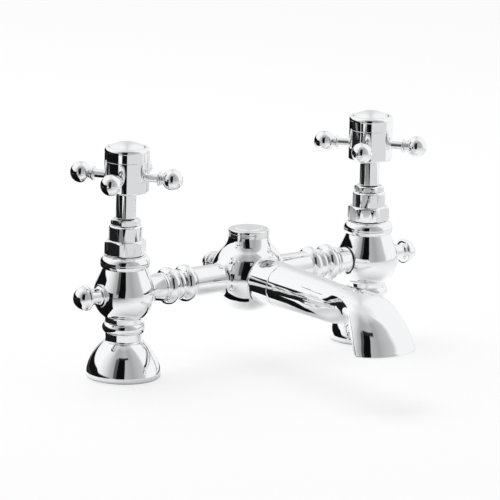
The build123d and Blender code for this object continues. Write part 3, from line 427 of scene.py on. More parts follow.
def drawn(name, steps, soft=None):
    """Object with an outline as its edges; one that starts and ends on the axis stays open there."""
    closed = not (steps[0][0] == 0 and steps[-1][0] == 0)
    points = outline(steps, closed, soft)
    edges = [(at, at + 1) for at in range(len(points) - 1)]
    if closed:
        edges.append((len(points) - 1, 0))
    return made_object(name, [(p.x * MM, 0, p.y * MM) for p in points], edges)


def turned(name, steps, place=Matrix.Identity(4), around=None, soft=None):
    """Piece turned about Z from its outline."""
    piece = drawn(name, steps, soft)
    run_tree(piece, "Turned on a lathe", {"Steps": around or chosen().shape.around})
    return tidy_mesh(piece, place)


def thread(radius, depth, pitch, bottom, top, place, inward=False):
    """Ridge of a screw thread between two heights, standing out of or into a wall of a radius."""
    piece = made_object("thread", [(0, 0, 0)])
    sign = -1 if inward else 1
    run_tree(piece, "Screw thread", {
        "Radius": (radius + sign * depth / 2) * MM, "Depth": depth * MM, "Pitch": pitch * MM,
        "Length": (top - bottom) * MM, "Bottom": bottom * MM, "Crest Turn": sign * pi / 2, "Steps": 48,
    })
    return tidy_mesh(piece, place, crease=25)


def at_pillar(sign, turn=0.0):
    """Place of a piece made about Z on a pillar, turned by degrees."""
    return Matrix.Translation((sign * PILLAR_X * MM, 0, 0)) @ Matrix.Rotation(radians(turn), 4, "Z")


def laid(axis, turn=pi / 2, height=BAR_HEIGHT, ahead=0.0):
    """Place that lays a piece made about Z on its side at a height."""
    return Matrix.Translation((0, -ahead * MM, height * MM)) @ Matrix.Rotation(turn, 4, axis)


def from_pillar(sign, inwards=True):
    """Place that lays a piece made about Z on the crossbar's axis, inwards or outwards from a pillar."""
    return at_pillar(sign, 0 if inwards == (sign < 0) else 180) @ laid("Y")


def upright_bulge(here, there):
    """Bulge of an arc between two steps that runs straight up at its wider end."""
    width, height = abs(here[0] - there[0]), abs(here[1] - there[1])
    return hypot(width, height) / 2 * tan(atan2(width, height) / 2)


def dome_bulge(width, rise):
    """Bulge of a dome's arc from its edge to its top on the axis."""
    radius = (width**2 + rise**2) / (2 * rise)
    return radius - sqrt(radius**2 - (width**2 + rise**2) / 4)


def strip(name, rings, closed=False):
    """Piece from rings of points in millimetres, joined one to the next; one point is a pole."""
    verts = [tuple(c * MM for c in point) for ring in rings for point in ring]
    starts, total = [], 0
    for ring in rings:
        starts.append(total)
        total += len(ring)
    pairs = list(zip(range(len(rings)), range(1, len(rings))))
    if closed:
        pairs.append((len(rings) - 1, 0))
    faces = []
    for low, high in pairs:
        a, b = len(rings[low]), len(rings[high])
        for at in range(max(a, b)):
            after = (at + 1) % max(a, b)
            corners = [starts[low] + at % a, starts[low] + after % a, starts[high] + after % b,
                       starts[high] + at % b]
            faces.append(list(dict.fromkeys(corners)))
    return made_object(name, verts, faces=faces)


# Angles across one flat of a hexagon, closest together at its corners
FLAT_ANGLES = (-30, -29.6, -29, -28, -26, -21, -14, -7, 0, 7, 14, 21, 26, 28, 29, 29.6)


def six_sided(width, corner):
    """Angles and radii round a hexagon with a corner on +X and rounded corners."""
    centre = (width / 2 - corner) / cos(pi / 6)
    edge = atan(tan(pi / 6) * (width / 2 - corner) / (width / 2))
    result = []
    for flat in range(6):
        for offset in FLAT_ANGLES:
            off = abs(radians(offset))
            lean = pi / 6 - off
            if off > edge:
                radius = centre * cos(lean) + sqrt(max(0, corner**2 - (centre * sin(lean)) ** 2))
            else:
                radius = width / 2 / cos(off)
            result.append((radians(30 + 60 * flat + offset), radius))
    return result


def hexagonal(name, width, steps_at, place, inner_width=None):
    """Piece with hexagonal rings: steps_at gives its outline for the hexagon's radius at each angle."""
    outer = six_sided(width, 0.3)
    inner = six_sided(inner_width, 0.1) if inner_width else outer
    rings = []
    for (angle, radius), (_, inner_radius) in zip(outer, inner):
        points = [Vector(step) for step in steps_at(radius, inner_radius)]
        points = rounded(points, set(range(len(points))), 0.18, True, every=True)
        rings.append([(p.x * cos(angle), p.x * sin(angle), p.y) for p in points])
    return tidy_mesh(strip(name, list(zip(*rings)), closed=True), place, crease=24)


# Materials


def surface(name):
    """New material with its shader and object coordinates."""
    if name in bpy.data.materials:
        bpy.data.materials.remove(bpy.data.materials[name])
    material = bpy.data.materials.new(name)
    material.use_nodes = True
    tree = material.node_tree
    tree.nodes.clear()
    shader = add(tree, "ShaderNodeBsdfPrincipled")
    add(tree, "ShaderNodeOutputMaterial", {"Surface": shader})
    return material, tree, shader, add(tree, "ShaderNodeTexCoord").outputs["Object"]


def plated(name, waves_mm, lines_mm, line_um, stretch, waves_um=4):
    """Chrome plate on polished brass.

    Waves are what the mops leave on a casting: they bend long reflections a little. Lines
    are turning or polishing marks: they make the mirror a touch softer in fine bands. They
    are drawn coarser than real ones, which would be too fine to show.
    """
    material, tree, shader, place = surface(name)
    finish = chosen().finish
    shader.inputs["Base Color"].default_value = (*finish.chrome, 1)
    shader.inputs["Metallic"].default_value = 1
    waves = add(tree, "ShaderNodeTexNoise", {"Vector": place, "Scale": 1 / (waves_mm * MM), "Detail": 1.0})
    stretched = add(tree, "ShaderNodeMapping", {"Vector": place, "Scale": stretch})
    lines = add(tree, "ShaderNodeTexNoise", {
        "Vector": stretched, "Scale": 1 / (lines_mm * MM), "Detail": 2.0, "Roughness": 0.6,
    })
    haze = add(tree, "ShaderNodeTexNoise", {"Vector": place, "Scale": 1 / (9 * MM), "Detail": 3.0})
    fine = add(tree, "ShaderNodeMapRange", (
        lines.outputs["Fac"], 0.35, 0.75, finish.polish * 0.5, finish.polish * 1.7,
    ))
    dull = add(tree, "ShaderNodeMapRange", (haze.outputs["Fac"], 0.5, 0.75, 0.0, finish.polish * 0.8))
    rough = add(tree, "ShaderNodeMath", (fine, dull), operation="ADD")
    tree.links.new(rough.outputs[0], shader.inputs["Roughness"])
    long_bump = add(tree, "ShaderNodeBump", {
        "Height": waves.outputs["Fac"], "Distance": waves_um * 1e-6, "Strength": 1.0,
    })
    bump = add(tree, "ShaderNodeBump", {
        "Height": lines.outputs["Fac"], "Distance": line_um * 1e-6, "Strength": 1.0, "Normal": long_bump,
    })
    tree.links.new(bump.outputs[0], shader.inputs["Normal"])
    return material


def grained(name, rough, spread_by, grain_mm, grain_um, stretch=None):
    """Surface whose roughness and fine relief follow one grain; returned with its nodes."""
    material, tree, shader, place = surface(name)
    along = add(tree, "ShaderNodeMapping", {"Vector": place, "Scale": stretch}) if stretch else place
    grain = add(tree, "ShaderNodeTexNoise", {
        "Vector": along, "Scale": 1 / (grain_mm * MM), "Detail": 2.0,
    }).outputs["Fac"]
    low, high = spread_by
    rougher = add(tree, "ShaderNodeMapRange", (grain, 0.3, 0.7, rough * low, rough * high))
    tree.links.new(rougher.outputs[0], shader.inputs["Roughness"])
    bump = add(tree, "ShaderNodeBump", {"Height": grain, "Distance": grain_um * 1e-6})
    tree.links.new(bump.outputs[0], shader.inputs["Normal"])
    return material, tree, shader, place


def bare_metal(name, tone, rough, lines_mm, line_um):
    """Uncoated turned metal: fine lines round the axis spread its highlights sideways."""
    material, _, shader, _ = grained(name, rough, (0.7, 1.4), lines_mm, line_um, (0.08, 0.08, 1))
    shader.inputs["Base Color"].default_value = (*tone, 1)
    shader.inputs["Metallic"].default_value = 1
    return material


def moulded(name, tone, rough, grain_mm, grain_um):
    """Moulded rubber or plastic: matt, with a fine grain and a little unevenness in its tone."""
    material, tree, shader, place = grained(name, rough, (0.85, 1.1), grain_mm, grain_um)
    blotches = add(tree, "ShaderNodeTexNoise", {"Vector": place, "Scale": 1 / (4 * MM), "Detail": 3.0})
    darker, lighter = [c * 0.8 for c in tone], [min(1, c * 1.15) for c in tone]
    mixed = add(tree, "ShaderNodeMix", {
        0: blotches.outputs["Fac"], 6: (*darker, 1), 7: (*lighter, 1),
    }, data_type="RGBA")
    tree.links.new(mixed.outputs[2], shader.inputs["Base Color"])
    return material


# All materials of the mixer, by the pieces' finish or slot
FINISHES = {}


class PIECE_OT_finishes(bpy.types.Operator):
    """Make the chrome, brass, steel, rubber and PTFE finishes"""

    bl_idname = "bath_filler.finishes"
    bl_label = "Finishes"

    def execute(self, context):
        finish = chosen().finish
        FINISHES["cast"] = plated(
            "Chrome plate on mop-polished cast brass", 14, 0.5, 0.12, (1, 1, 1), waves_um=9
        )
        FINISHES["turned"] = plated("Chrome plate on turned brass, upright", 20, 0.35, 0.2, (0.1, 0.1, 1))
        FINISHES["turned_bar"] = plated("Chrome plate on turned brass, lying", 20, 0.35, 0.2, (1, 0.1, 0.1))
        FINISHES["hexagon"] = plated("Chrome plate on drawn hexagon bar", 9, 0.3, 0.2, (1, 1, 0.06))
        FINISHES["brass"] = bare_metal("Turned brass, unplated", finish.brass, 0.24, 0.3, 1.2)
        FINISHES["steel"] = bare_metal(
            "Stainless steel, turned and passivated", finish.steel, 0.3, 0.25, 0.8
        )
        FINISHES["rubber"] = moulded("EPDM rubber, moulded", finish.rubber, 0.62, 0.25, 6)
        FINISHES["ptfe"] = moulded("PTFE, sintered and turned", finish.ptfe, 0.45, 0.3, 2)
        return {"FINISHED"}


# Pieces

# Crest radius of the inlet's thread and height of its socket's end
INLET_R = 12.06
SOCKET_TOP = 14.0


class PIECE_OT_foot_bells(bpy.types.Operator):
    """Make the two domed feet with their inlet threads"""

    bl_idname = "bath_filler.foot_bells"
    bl_label = "Foot bells"

    def execute(self, context):
        threads = chosen().threads
        depth = threads.inlet_depth / MM
        root = INLET_R + depth
        steps = (
            (root + 0.5, 0), (14.6, 0), (14.6, 3), (15.4, 3), (15.4, 10), (17.6, 10), (17.6, 3),
            (18.8, 3), (18.8, 0), (20.2, 0), (22.2, 2.0, 0.58), (22.2, 3.6), (12.0, 21.8, 1.7),
            (10.0, 21.8), (10.0, 20.3), (8.03, 20.3), (8.03, SOCKET_TOP), (root, SOCKET_TOP), (root, 0.5),
        )
        for side, sign in SIDES:
            place = at_pillar(sign)
            bell = turned("bell", steps, place)
            ridge = thread(
                root + 0.02, depth, threads.inlet_pitch / MM, 0.9, SOCKET_TOP - 1, place, inward=True
            )
            dress(joined(bell, ridge), side + "_foot_bell", "cast")
        return {"FINISHED"}


# Points of the bulb: above the neck, the ends of its widest place, and where its shoulder starts
BULB_LOW, BULB_SIDE, BULB_SIDE_TOP, BULB_HIGH = (11.2, 36.2), (18.35, 49.4), (18.35, 50.4), (17.4, 56.2)
PILLAR_STEPS = (
    (6.0, 15.0), (8.0, 15.0), (8.0, 21.8), (11.7, 21.8), (10.8, 23.2, -0.3), (10.9, 27.0),
    (11.2, 33.6, 1.85), BULB_LOW, (*BULB_SIDE, upright_bulge(BULB_LOW, BULB_SIDE)), BULB_SIDE_TOP,
    (*BULB_HIGH, upright_bulge(BULB_HIGH, BULB_SIDE_TOP)), (13.0, 66.0), (14.7, 69.1, 0.72),
    (12.3, 73.4, 0.75), (12.3, 74.0), (10.9, 74.0), (10.9, 72.5), (9.83, 72.5), (9.83, 60.0),
    (9.6, 60.0), (9.6, 40.5), (7.2, 40.5), (7.2, 43.0), (6.0, 43.0),
)
PORT_STEPS = (
    (0, 0), (5.2, 0), (5.2, 10.4), (7.03, 10.4), (7.03, 14.3), (8.1, 14.3), (8.1, 15.8), (8.9, 15.8),
    (8.9, 21.0), (0, 21.0),
)
PLUG_HOLE_STEPS = ((0, 8.6), (4.93, 8.6), (4.93, 17.0), (6.8, 17.0), (6.8, 21.0), (0, 21.0))


class PIECE_OT_pillars(bpy.types.Operator):
    """Make the two onion-shaped pillar bodies with their valve chambers and ports"""

    bl_idname = "bath_filler.pillars"
    bl_label = "Pillar bodies"

    def execute(self, context):
        for side, sign in SIDES:
            body = turned("pillar", PILLAR_STEPS, at_pillar(sign))
            port = turned("port", PORT_STEPS, from_pillar(sign), soft=0.02)
            hole = turned("plug hole", PLUG_HOLE_STEPS, from_pillar(sign, inwards=False), soft=0.02)
            dress(cut(body, port, hole), side + "_pillar_body", "cast")
        return {"FINISHED"}


# Finial: its whole length outside, and the radius and rise of its dome
FINIAL_END = 18.3
DOME_R = 6.9
DOME_RISE = DOME_R * 0.95
# Distance from the axis to the face that a side plug's or the rear plug's ring sits on
SIDE_SEAT, REAR_SEAT = 17.0, 23.6


def finial_steps(base):
    """Outline of a turned plug with a ring, a shank, a flange and a dome."""
    dome = base + FINIAL_END - DOME_RISE
    return (
        (0, base - 5.6), (4.9, base - 5.6), (4.9, base), (6.5, base), (6.5, base + 1.2, 0.25),
        (4.75, base + 2.6, -0.35), (4.75, dome - 2.4), (7.2, dome - 1.9, -0.3), (7.2, dome - 0.3, 0.3),
        (DOME_R, dome), (0, base + FINIAL_END, dome_bulge(DOME_R, DOME_RISE)),
    )


class PIECE_OT_finials(bpy.types.Operator):
    """Make the turned plugs on the outer sides of the pillars and behind the ball"""

    bl_idname = "bath_filler.finials"
    bl_label = "Finials"

    def execute(self, context):
        around = chosen().shape.around_small
        for side, sign in SIDES:
            place = from_pillar(sign, inwards=False)
            plug = turned("finial", finial_steps(SIDE_SEAT), place, around, soft=0.15)
            dress(plug, side + "_side_finial", "turned_bar")
        place = Matrix.Rotation(pi, 4, "Z") @ laid("X")
        plug = turned("finial", finial_steps(REAR_SEAT), place, around, soft=0.15)
        dress(plug, "rear_finial", "turned")
        return {"FINISHED"}


LOCK_RING_STEPS = (
    (7.03, 16.1), (7.4, 16.1), (7.7, 16.6), (8.6, 24.9, -0.25), (8.2, 25.7), (7.03, 25.7),
)
# Two half-round beads with a low ridge between them
CONNECTOR_STEPS = (
    (5.2, 10.5), (7.0, 10.5), (7.0, 25.8), (8.3, 25.8), (8.3, 27.4), (8.3, 35.0, 2.9),
    (8.9, 36.3, -0.15), (8.9, 38.6, 0.2), (8.3, 39.9), (8.3, 47.5, 2.9), (6.95, 47.5), (6.95, 36.0),
    (5.2, 36.0),
)


class PIECE_OT_bar_joints(bpy.types.Operator):
    """Make the lock rings and the beaded connectors of the crossbar"""

    bl_idname = "bath_filler.bar_joints"
    bl_label = "Crossbar joints"

    def execute(self, context):
        for side, sign in SIDES:
            place = from_pillar(sign)
            ring = turned("union ring", LOCK_RING_STEPS, place, chosen().shape.around_small)
            dress(ring, side + "_union_ring", "turned_bar")
            connector = turned("beads", CONNECTOR_STEPS, place, soft=0.35)
            dress(connector, side + "_beaded_connector", "turned_bar")
        return {"FINISHED"}


BALL_R = 22.5
CAVITY_R = 17.4
ARM_STEPS = (
    (8.95, 42.5), (6.9, 42.5), (6.9, 47.0), (5.8, 47.0), (5.8, 49.0), (6.9, 49.0), (6.9, 53.5),
    (5.2, 53.5),
)
NECK_STEPS = ((12.0, 25.8), (9.6, 25.8), (9.6, 24.3), (8.03, 24.3))
# Each sixth of the ball: its axis, the radius of the smooth turn from the ball into its way out,
# and the way's outline from the outer cylinder to the cavity; the underside has no way out
WAYS = (
    ((1, 0, 0), 3.0, ARM_STEPS), ((-1, 0, 0), 3.0, ARM_STEPS), ((0, 0, 1), 11.0, NECK_STEPS),
    ((0, -1, 0), 3.0, ((13.3, 36.0), (9.93, 36.0))), ((0, 1, 0), 3.0, ((7.6, 23.6), (4.93, 23.6))),
    ((0, 0, -1), 0.0, None),
)


def way_out(axis, blend, steps, quarter):
    """One sixth of the ball as strips of rings, from its outer border through the way to its inner one."""
    axis = Vector(axis)
    across = Vector((0, 1, 0)) if abs(axis.y) < 0.5 else Vector((0, 0, 1))
    other = axis.cross(across)
    centre = Vector((0, 0, BAR_HEIGHT))
    angles = [2 * pi * at / (4 * quarter) for at in range(4 * quarter)]
    around = [across * cos(a) + other * sin(a) for a in angles]
    borders = [atan(1 / max(abs(cos(a)), abs(sin(a)))) for a in angles]

    def cap_rings(radius, inner, count=14):
        rings = []
        for step in range(count):
            ring = []
            for way, border in zip(around, borders):
                polar = border + (inner - border) * step / (count - 1)
                ring.append(centre + (axis * cos(polar) + way * sin(polar)) * radius)
            rings.append(ring)
        return rings

    if steps is None:
        return [cap_rings(radius, 0.02) + [[centre + axis * radius]] for radius in (BALL_R, CAVITY_R)]
    first, bore = steps[0][0], steps[-1][0]
    level = sqrt((BALL_R + blend) ** 2 - (first + blend) ** 2)
    leave = asin((first + blend) / (BALL_R + blend))
    points = []
    for step in range(1, 12):
        turn = leave + (pi / 2 - leave) * step / 11
        points.append(Vector((first + blend - blend * sin(turn), level - blend * cos(turn))))
    corners = set(range(len(points), len(points) + len(steps)))
    points += [Vector(step) for step in steps]
    points.append(Vector((bore, sqrt(CAVITY_R**2 - bore**2))))
    points = rounded(points, corners, 0.25, closed=False)
    rings = cap_rings(BALL_R, leave)
    rings += [[centre + axis * p.y + way * p.x for way in around] for p in points]
    rings += reversed(cap_rings(CAVITY_R, asin(bore / CAVITY_R))[:-1])
    return [rings]


class PIECE_OT_centre_body(bpy.types.Operator):
    """Make the hollow ball with its arms, neck, collar and rear boss"""

    bl_idname = "bath_filler.centre_body"
    bl_label = "Centre body"

    def execute(self, context):
        quarter = chosen().shape.around // 4
        parts = [strip("way", rings) for way in WAYS for rings in way_out(*way, quarter)]
        body = tidy_mesh(joined(*parts))
        lean = laid("Y", radians(-22), ahead=25)
        hole = turned("grub hole", ((0, 5), (4.53, 5), (4.53, 22.5), (0, 22.5)), lean, 64, soft=0.02)
        dress(cut(body, hole), "centre_body", "cast")
        return {"FINISHED"}


CAP_TOP = 79.2
CAP_STEPS = (
    (0, 70.8), (8.0, 70.8), (8.0, 76.8), (12.0, 76.8), (12.2, 77.0), (12.2, CAP_TOP - 0.9),
    (11.3, CAP_TOP - 0.1, 0.25), (8.1, CAP_TOP), (7.5, CAP_TOP + 0.4),
    (0, CAP_TOP + 0.8, dome_bulge(7.5, 0.4)),
)


class PIECE_OT_top_cap(bpy.types.Operator):
    """Make the blanking cap on the ball's neck"""

    bl_idname = "bath_filler.top_cap"
    bl_label = "Top cap"

    def execute(self, context):
        dress(turned("cap", CAP_STEPS, soft=0.15), "top_cap", "turned")
        return {"FINISHED"}


# Sections of the hood: distance ahead and height of the side ridge, tilt, half width,
# depth in front of the ridge and the arc angle of that half, and both behind the ridge
HOOD = (
    (104.0, 59.6, 3.0, 11.6, 3.6, 60.0, 17.3, 108.0),
    (117.4, 56.6, 25.0, 15.2, 4.9, 62.0, 16.6, 82.0),
    (126.4, 47.4, 50.0, 18.8, 8.6, 68.0, 15.8, 77.0),
    (131.6, 38.7, 72.0, 20.8, 10.6, 72.0, 14.6, 74.0),
    (135.0, 31.5, 90.0, 21.6, 11.2, 74.0, 14.0, 74.0),
)
COLLAR_END = 36.0
BARREL_END = 88.0
BARREL_RADII = (13.3, 11.75)
RIDGE_ANGLE = 50.0
SPOUT_WALL = 2.4
# Share of the wall and height above the rim of the lip's rounded edge
LIP = (
    (0.0, 0.6), (0.02, 0.3), (0.07, 0.1), (0.16, 0.0), (0.5, 0.0), (0.84, 0.0), (0.93, 0.1),
    (0.98, 0.3), (1.0, 0.6),
)
# Radius and distance ahead, from the bore down the spigot and back to the collar
SPIGOT = (
    (10.8, 38.5), (10.4, 38.2), (7.2, 38.2), (7.0, 38.0), (7.0, 16.2), (7.2, 16.0), (9.3, 16.0),
    (9.9, 16.6), (9.9, 22.4), (8.5, 22.4), (8.5, 27.6), (9.9, 27.6), (9.9, 30.5), (8.8, 30.5),
    (8.8, 32.5), (9.9, 32.5), (9.9, 35.9), (10.0, 36.0), (12.95, 36.0), (13.18, 36.07), (13.27, 36.2),
)


def barrel_row(ahead):
    """Section row of the round barrel, split at the height where the ridge will start."""
    start, end = BARREL_RADII
    radius = start + (end - start) * (ahead - COLLAR_END) / (BARREL_END - COLLAR_END)
    turn = radians(RIDGE_ANGLE)
    ridge = radius * cos(turn)
    return (ahead, BAR_HEIGHT + ridge, 0.0, radius * sin(turn), radius - ridge, RIDGE_ANGLE,
            radius + ridge, 180 - RIDGE_ANGLE)


def row_middle(row):
    """Point halfway through a section's depth, ahead and up."""
    away = (row[4] - row[6]) / 2
    return row[0] + away * sin(radians(row[2])), row[1] + away * cos(radians(row[2]))


def filled_in(rows, spacing):
    """Section rows a step apart on a smooth curve through the given ones."""
    middles = [row_middle(row) for row in rows]
    gaps = [dist(*pair) for pair in zip(middles, middles[1:])]
    last = len(rows) - 1
    slopes = []
    for at in range(len(rows)):
        low, high = max(at - 1, 0), min(at + 1, last)
        reach = sum(gaps[low:high])
        slopes.append([(b - a) / reach for a, b in zip(rows[low], rows[high])])
    fine = []
    for at, gap in enumerate(gaps):
        steps = max(1, round(gap / spacing))
        for step in range(steps):
            s = step / steps
            weights = ((1 + 2 * s) * (1 - s) ** 2, s**2 * (3 - 2 * s), gap * s * (1 - s) ** 2,
                       gap * s**2 * (s - 1))
            columns = zip(rows[at], rows[at + 1], slopes[at], slopes[at + 1])
            fine.append([sum(w * v for w, v in zip(weights, column)) for column in columns])
    return fine + [list(rows[last])]


def half_section(half_width, depth, angle, count):
    """Points of one half of a section, closer together near its ridges."""
    turn = radians(angle)
    points = []
    for step in range(count):
        even = step / (count - 1)
        at = turn * (1 - 2 * (0.4 * even + 0.6 * (1 - cos(pi * even)) / 2))
        out = depth * (cos(at) - cos(turn)) / (1 - cos(turn))
        points.append((half_width * sin(at) / sin(turn), out))
    return points


def section(row, wall=0.0, count=49):
    """Closed ring of points of a section, shrunk about the middle of its depth by a wall."""
    ahead, height, tilt, half_width, front, front_angle, back, back_angle = row
    middle = (front - back) / 2
    tilted = radians(tilt)
    scale = 1 - wall / ((front + back) / 2)

    def place(across, out):
        away = middle + (out - middle) * scale
        return Vector((across * scale, -ahead - away * sin(tilted), height + away * cos(tilted)))

    outer = [place(x, y) for x, y in half_section(half_width, front, front_angle, count)]
    inner = [place(x, -y) for x, y in half_section(half_width, back, back_angle, count)]
    return outer + inner[-2:0:-1]


class PIECE_OT_spout(bpy.types.Operator):
    """Make the spout: spigot, round barrel and the hood with its wide mouth"""

    bl_idname = "bath_filler.spout"
    bl_label = "Spout"

    def execute(self, context):
        spacing = chosen().shape.section_step / MM
        stations = [COLLAR_END + (BARREL_END - COLLAR_END) * share for share in (0, 0.35, 0.7, 1)]
        rows = filled_in([barrel_row(ahead) for ahead in stations] + list(HOOD), spacing)
        outer = [section(row) for row in rows]
        inner = [section(row, SPOUT_WALL) for row in rows if row[0] >= COLLAR_END + 2.5]
        angles = [atan2(p.z - BAR_HEIGHT, p.x) for p in outer[0]]
        lip_out, lip_in = outer.pop(), inner.pop()
        mouth = [
            [a + (b - a) * share + Vector((0, 0, up)) for a, b in zip(lip_out, lip_in)] for share, up in LIP
        ]
        spigot = [
            [(radius * cos(a), -ahead, BAR_HEIGHT + radius * sin(a)) for a in angles]
            for radius, ahead in SPIGOT
        ]
        rings = outer[1:] + mouth + inner[::-1] + spigot
        dress(tidy_mesh(strip("spout", rings, closed=True), crease=50), "spout", "cast")
        return {"FINISHED"}


# Width across flats, bottom and top of the headwork's hexagon and of the gland nut
BIG_HEX = (22.0, 74.0, 82.8)
NUT_HEX = (15.8, 91.8, 95.5)
SKIRT_R = 9.2
GLAND_R = 6.0


def bevelled(hexagon, radius):
    """Outline steps of a hexagon whose ends are turned down to its flats, for a radius."""
    width, bottom, top = hexagon
    small = width / 2 - 0.3
    bevel = 0.5 * (radius - small)
    return (small, bottom), (radius, bottom + bevel), (radius, top - bevel), (small, top)


def headwork_steps(radius, inner):
    """Outline of the headwork body for its hexagon's and its socket's radius."""
    return (
        (inner, 56.0), (8.9, 56.0), (SKIRT_R, 56.3), (SKIRT_R, 60.0), (SKIRT_R, BIG_HEX[1]),
        *bevelled(BIG_HEX, radius), (9.8, BIG_HEX[2]), (9.8, 91.0), (9.0, 91.8), (6.53, 91.8),
        (6.53, 84.1), (4.05, 84.1), (4.05, 76.0), (5.95, 76.0), (5.95, 71.55), (inner, 71.55),
    )


def nut_steps(radius, _):
    """Outline of the gland nut for its hexagon's radius."""
    return (
        (4.15, 87.5), (GLAND_R, 87.5), (GLAND_R, NUT_HEX[1]), *bevelled(NUT_HEX, radius), (4.15, NUT_HEX[2]),
    )


class PIECE_OT_headworks(bpy.types.Operator):
    """Make the large hexagons with their barrels, and the gland nuts above"""

    bl_idname = "bath_filler.headworks"
    bl_label = "Headworks"

    def execute(self, context):
        pitch = chosen().threads.fine_pitch / MM
        for side, sign in SIDES:
            place = at_pillar(sign, HEX_ANGLES[side])
            body = hexagonal("headwork", BIG_HEX[0], headwork_steps, place, inner_width=12.16)
            skirt = thread(SKIRT_R - 0.02, 0.62, pitch, 61, 72, place)
            dress(joined(body, skirt), side + "_headwork_body", "hexagon")
            gland = hexagonal("gland", NUT_HEX[0], nut_steps, place)
            screw = thread(GLAND_R - 0.02, 0.52, pitch, 87.6, 91.6, place)
            dress(joined(gland, screw), side + "_gland_nut", "hexagon")
        return {"FINISHED"}


ARM_HEIGHT = 120.9
HUB_BOTTOM = 111.6
HUB_R = 13.24
CAP_JOINT = 130.4
# Half width, bottom and top of the hub's square socket
SQUARE = (5.66 / 2, 112.0, 122.0)
STEM_STEPS = (
    (5.15, 95.9), (5.6, 95.9), (5.9, 96.2), (5.9, 110.2), (5.2, 110.9), (5.2, HUB_BOTTOM),
    (4.05, HUB_BOTTOM), (4.05, 96.9), (5.15, 96.9),
)
HUB_STEPS = (
    (4.05, HUB_BOTTOM), (HUB_R - 1, HUB_BOTTOM), (HUB_R, 112.6, 0.2), (HUB_R, CAP_JOINT - 0.15),
    (HUB_R - 0.15, CAP_JOINT), (9.0, CAP_JOINT), (9.0, 124.0), (2.05, 124.0), (2.05, 112.6), (4.05, 112.6),
)
HANDLE_CAP_STEPS = (
    (6.97, 127.0), (8.97, 127.0), (8.97, CAP_JOINT), (HUB_R - 0.15, CAP_JOINT), (HUB_R, CAP_JOINT + 0.15),
    (HUB_R, 135.7), (11.1, 138.6, 0.85), (10.63, 138.4), (10.63, 137.0), (4.03, 137.0), (4.03, 134.5),
    (6.97, 134.5),
)
DISC_STEPS = (
    (0, 135.0), (4.0, 135.0), (4.0, 137.0), (10.5, 137.0), (10.5, 137.5), (10.1, 138.2),
    (0, 141.5, dome_bulge(10.1, 3.3)),
)
ARM_HOLE_STEPS = ((0, 6.27), (2.43, 6.27), (2.43, 15), (0, 15))


def arm_steps():
    """Outline of one handle arm along its own axis: rod, two rings and a ball."""
    root, ball, mid, rod = 6.3, 6.3, 28.3, 2.4
    neck = rod + 0.4
    start = mid - sqrt(ball**2 - neck**2)
    small = start - 0.1
    large = small - 1.5
    chord = hypot(ball - neck, mid - start)
    return (
        (0, root), (rod, root), (rod, large - 1.5), (4.0, large - 1.3, -0.1), (4.0, large, 0.3),
        (neck, large + 0.2), (3.3, large + 0.4), (3.3, small - 0.2, 0.2), (neck, small), (neck, start),
        (ball, mid, ball - sqrt(ball**2 - chord**2 / 4)), (0, mid + ball, ball * (1 - sqrt(0.5))),
    )


class PIECE_OT_handles(bpy.types.Operator):
    """Make the stems, hubs, arms, caps and index discs of both crosshead handles"""

    bl_idname = "bath_filler.handles"
    bl_label = "Crosshead handles"

    def execute(self, context):
        shape = chosen().shape
        half, low, high = (size * MM for size in SQUARE)
        corners = [(x * half, y * half, z) for z in (low, high) for x, y in SQUARE_CORNERS]
        box = ((0, 1, 5, 4), (1, 2, 6, 5), (2, 3, 7, 6), (3, 0, 4, 7), (0, 1, 2, 3), (4, 5, 6, 7))
        for side, sign in SIDES:
            place = at_pillar(sign, ARM_ANGLES[side])
            dress(turned("stem", STEM_STEPS, place, shape.around_small), side + "_stem_sleeve", "turned")
            holes = [tidy_mesh(made_object("socket", corners, faces=box), place)]
            for arm in range(shape.arms):
                turn = place @ Matrix.Rotation(2 * pi * arm / shape.arms, 4, "Z")
                holes.append(turned(
                    "arm hole", ARM_HOLE_STEPS, turn @ laid("Y", height=ARM_HEIGHT), 48, soft=0.01
                ))
            dress(cut(turned("hub", HUB_STEPS, place), *holes), side + "_handle_hub", "turned")
            arms = drawn("arms", arm_steps(), soft=0.18)
            run_tree(arms, "Arms round a hub", {
                "Steps": shape.around_small, "Count": shape.arms, "Height": ARM_HEIGHT * MM,
            })
            dress(tidy_mesh(arms, place), side + "_handle_arms", "turned")
            dress(turned("cap", HANDLE_CAP_STEPS, place), side + "_handle_cap", "turned")
            dress(turned("index", DISC_STEPS, place, soft=0.12), side + "_index_disc", "turned")
        return {"FINISHED"}


class PIECE_OT_inner_parts(bpy.types.Operator):
    """Finish the seals, screws, spindles and jumpers, which are smoothed copies of the CAD nodes"""

    bl_idname = "bath_filler.inner_parts"
    bl_label = "Inner parts"

    def execute(self, context):
        stood_for = {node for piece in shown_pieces() for node in piece.get("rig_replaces", [])}
        for node in sorted(set(frame["nodes"]) - stood_for):
            copy = bpy.data.objects.new(node, frame["nodes"][node].data.copy())
            context.scene.collection.objects.link(copy)
            dress(soften(joined(copy, merge=2 * MERGE), 28), node, SLOT_OF[node])
        return {"FINISHED"}


# Studio

SENSOR = 36
PICTURE = 500
# Half the floor's width in metres
FLOOR_REACH = 6
# Share of plain white in what the camera sees of the floor
FLOOR_GLOW = 0.75
# Height of the point that the camera looks at, and where it is in the picture
LOOK_HEIGHT = 0.07
LOOK_AT = (248.6, 243.05)
# Tone of the studio's walls by their direction from the camera's, in degrees to its right
WALL_TONES = (
    (-180, 0.7), (-160, 0.95), (-90, 1.0), (-64, 0.8), (-51, 0.62), (-38, 0.42), (-15, 0.4), (10, 0.46),
    (33, 0.38), (46, 0.46), (70, 0.56), (80, 0.95), (160, 0.95), (180, 0.7),
)
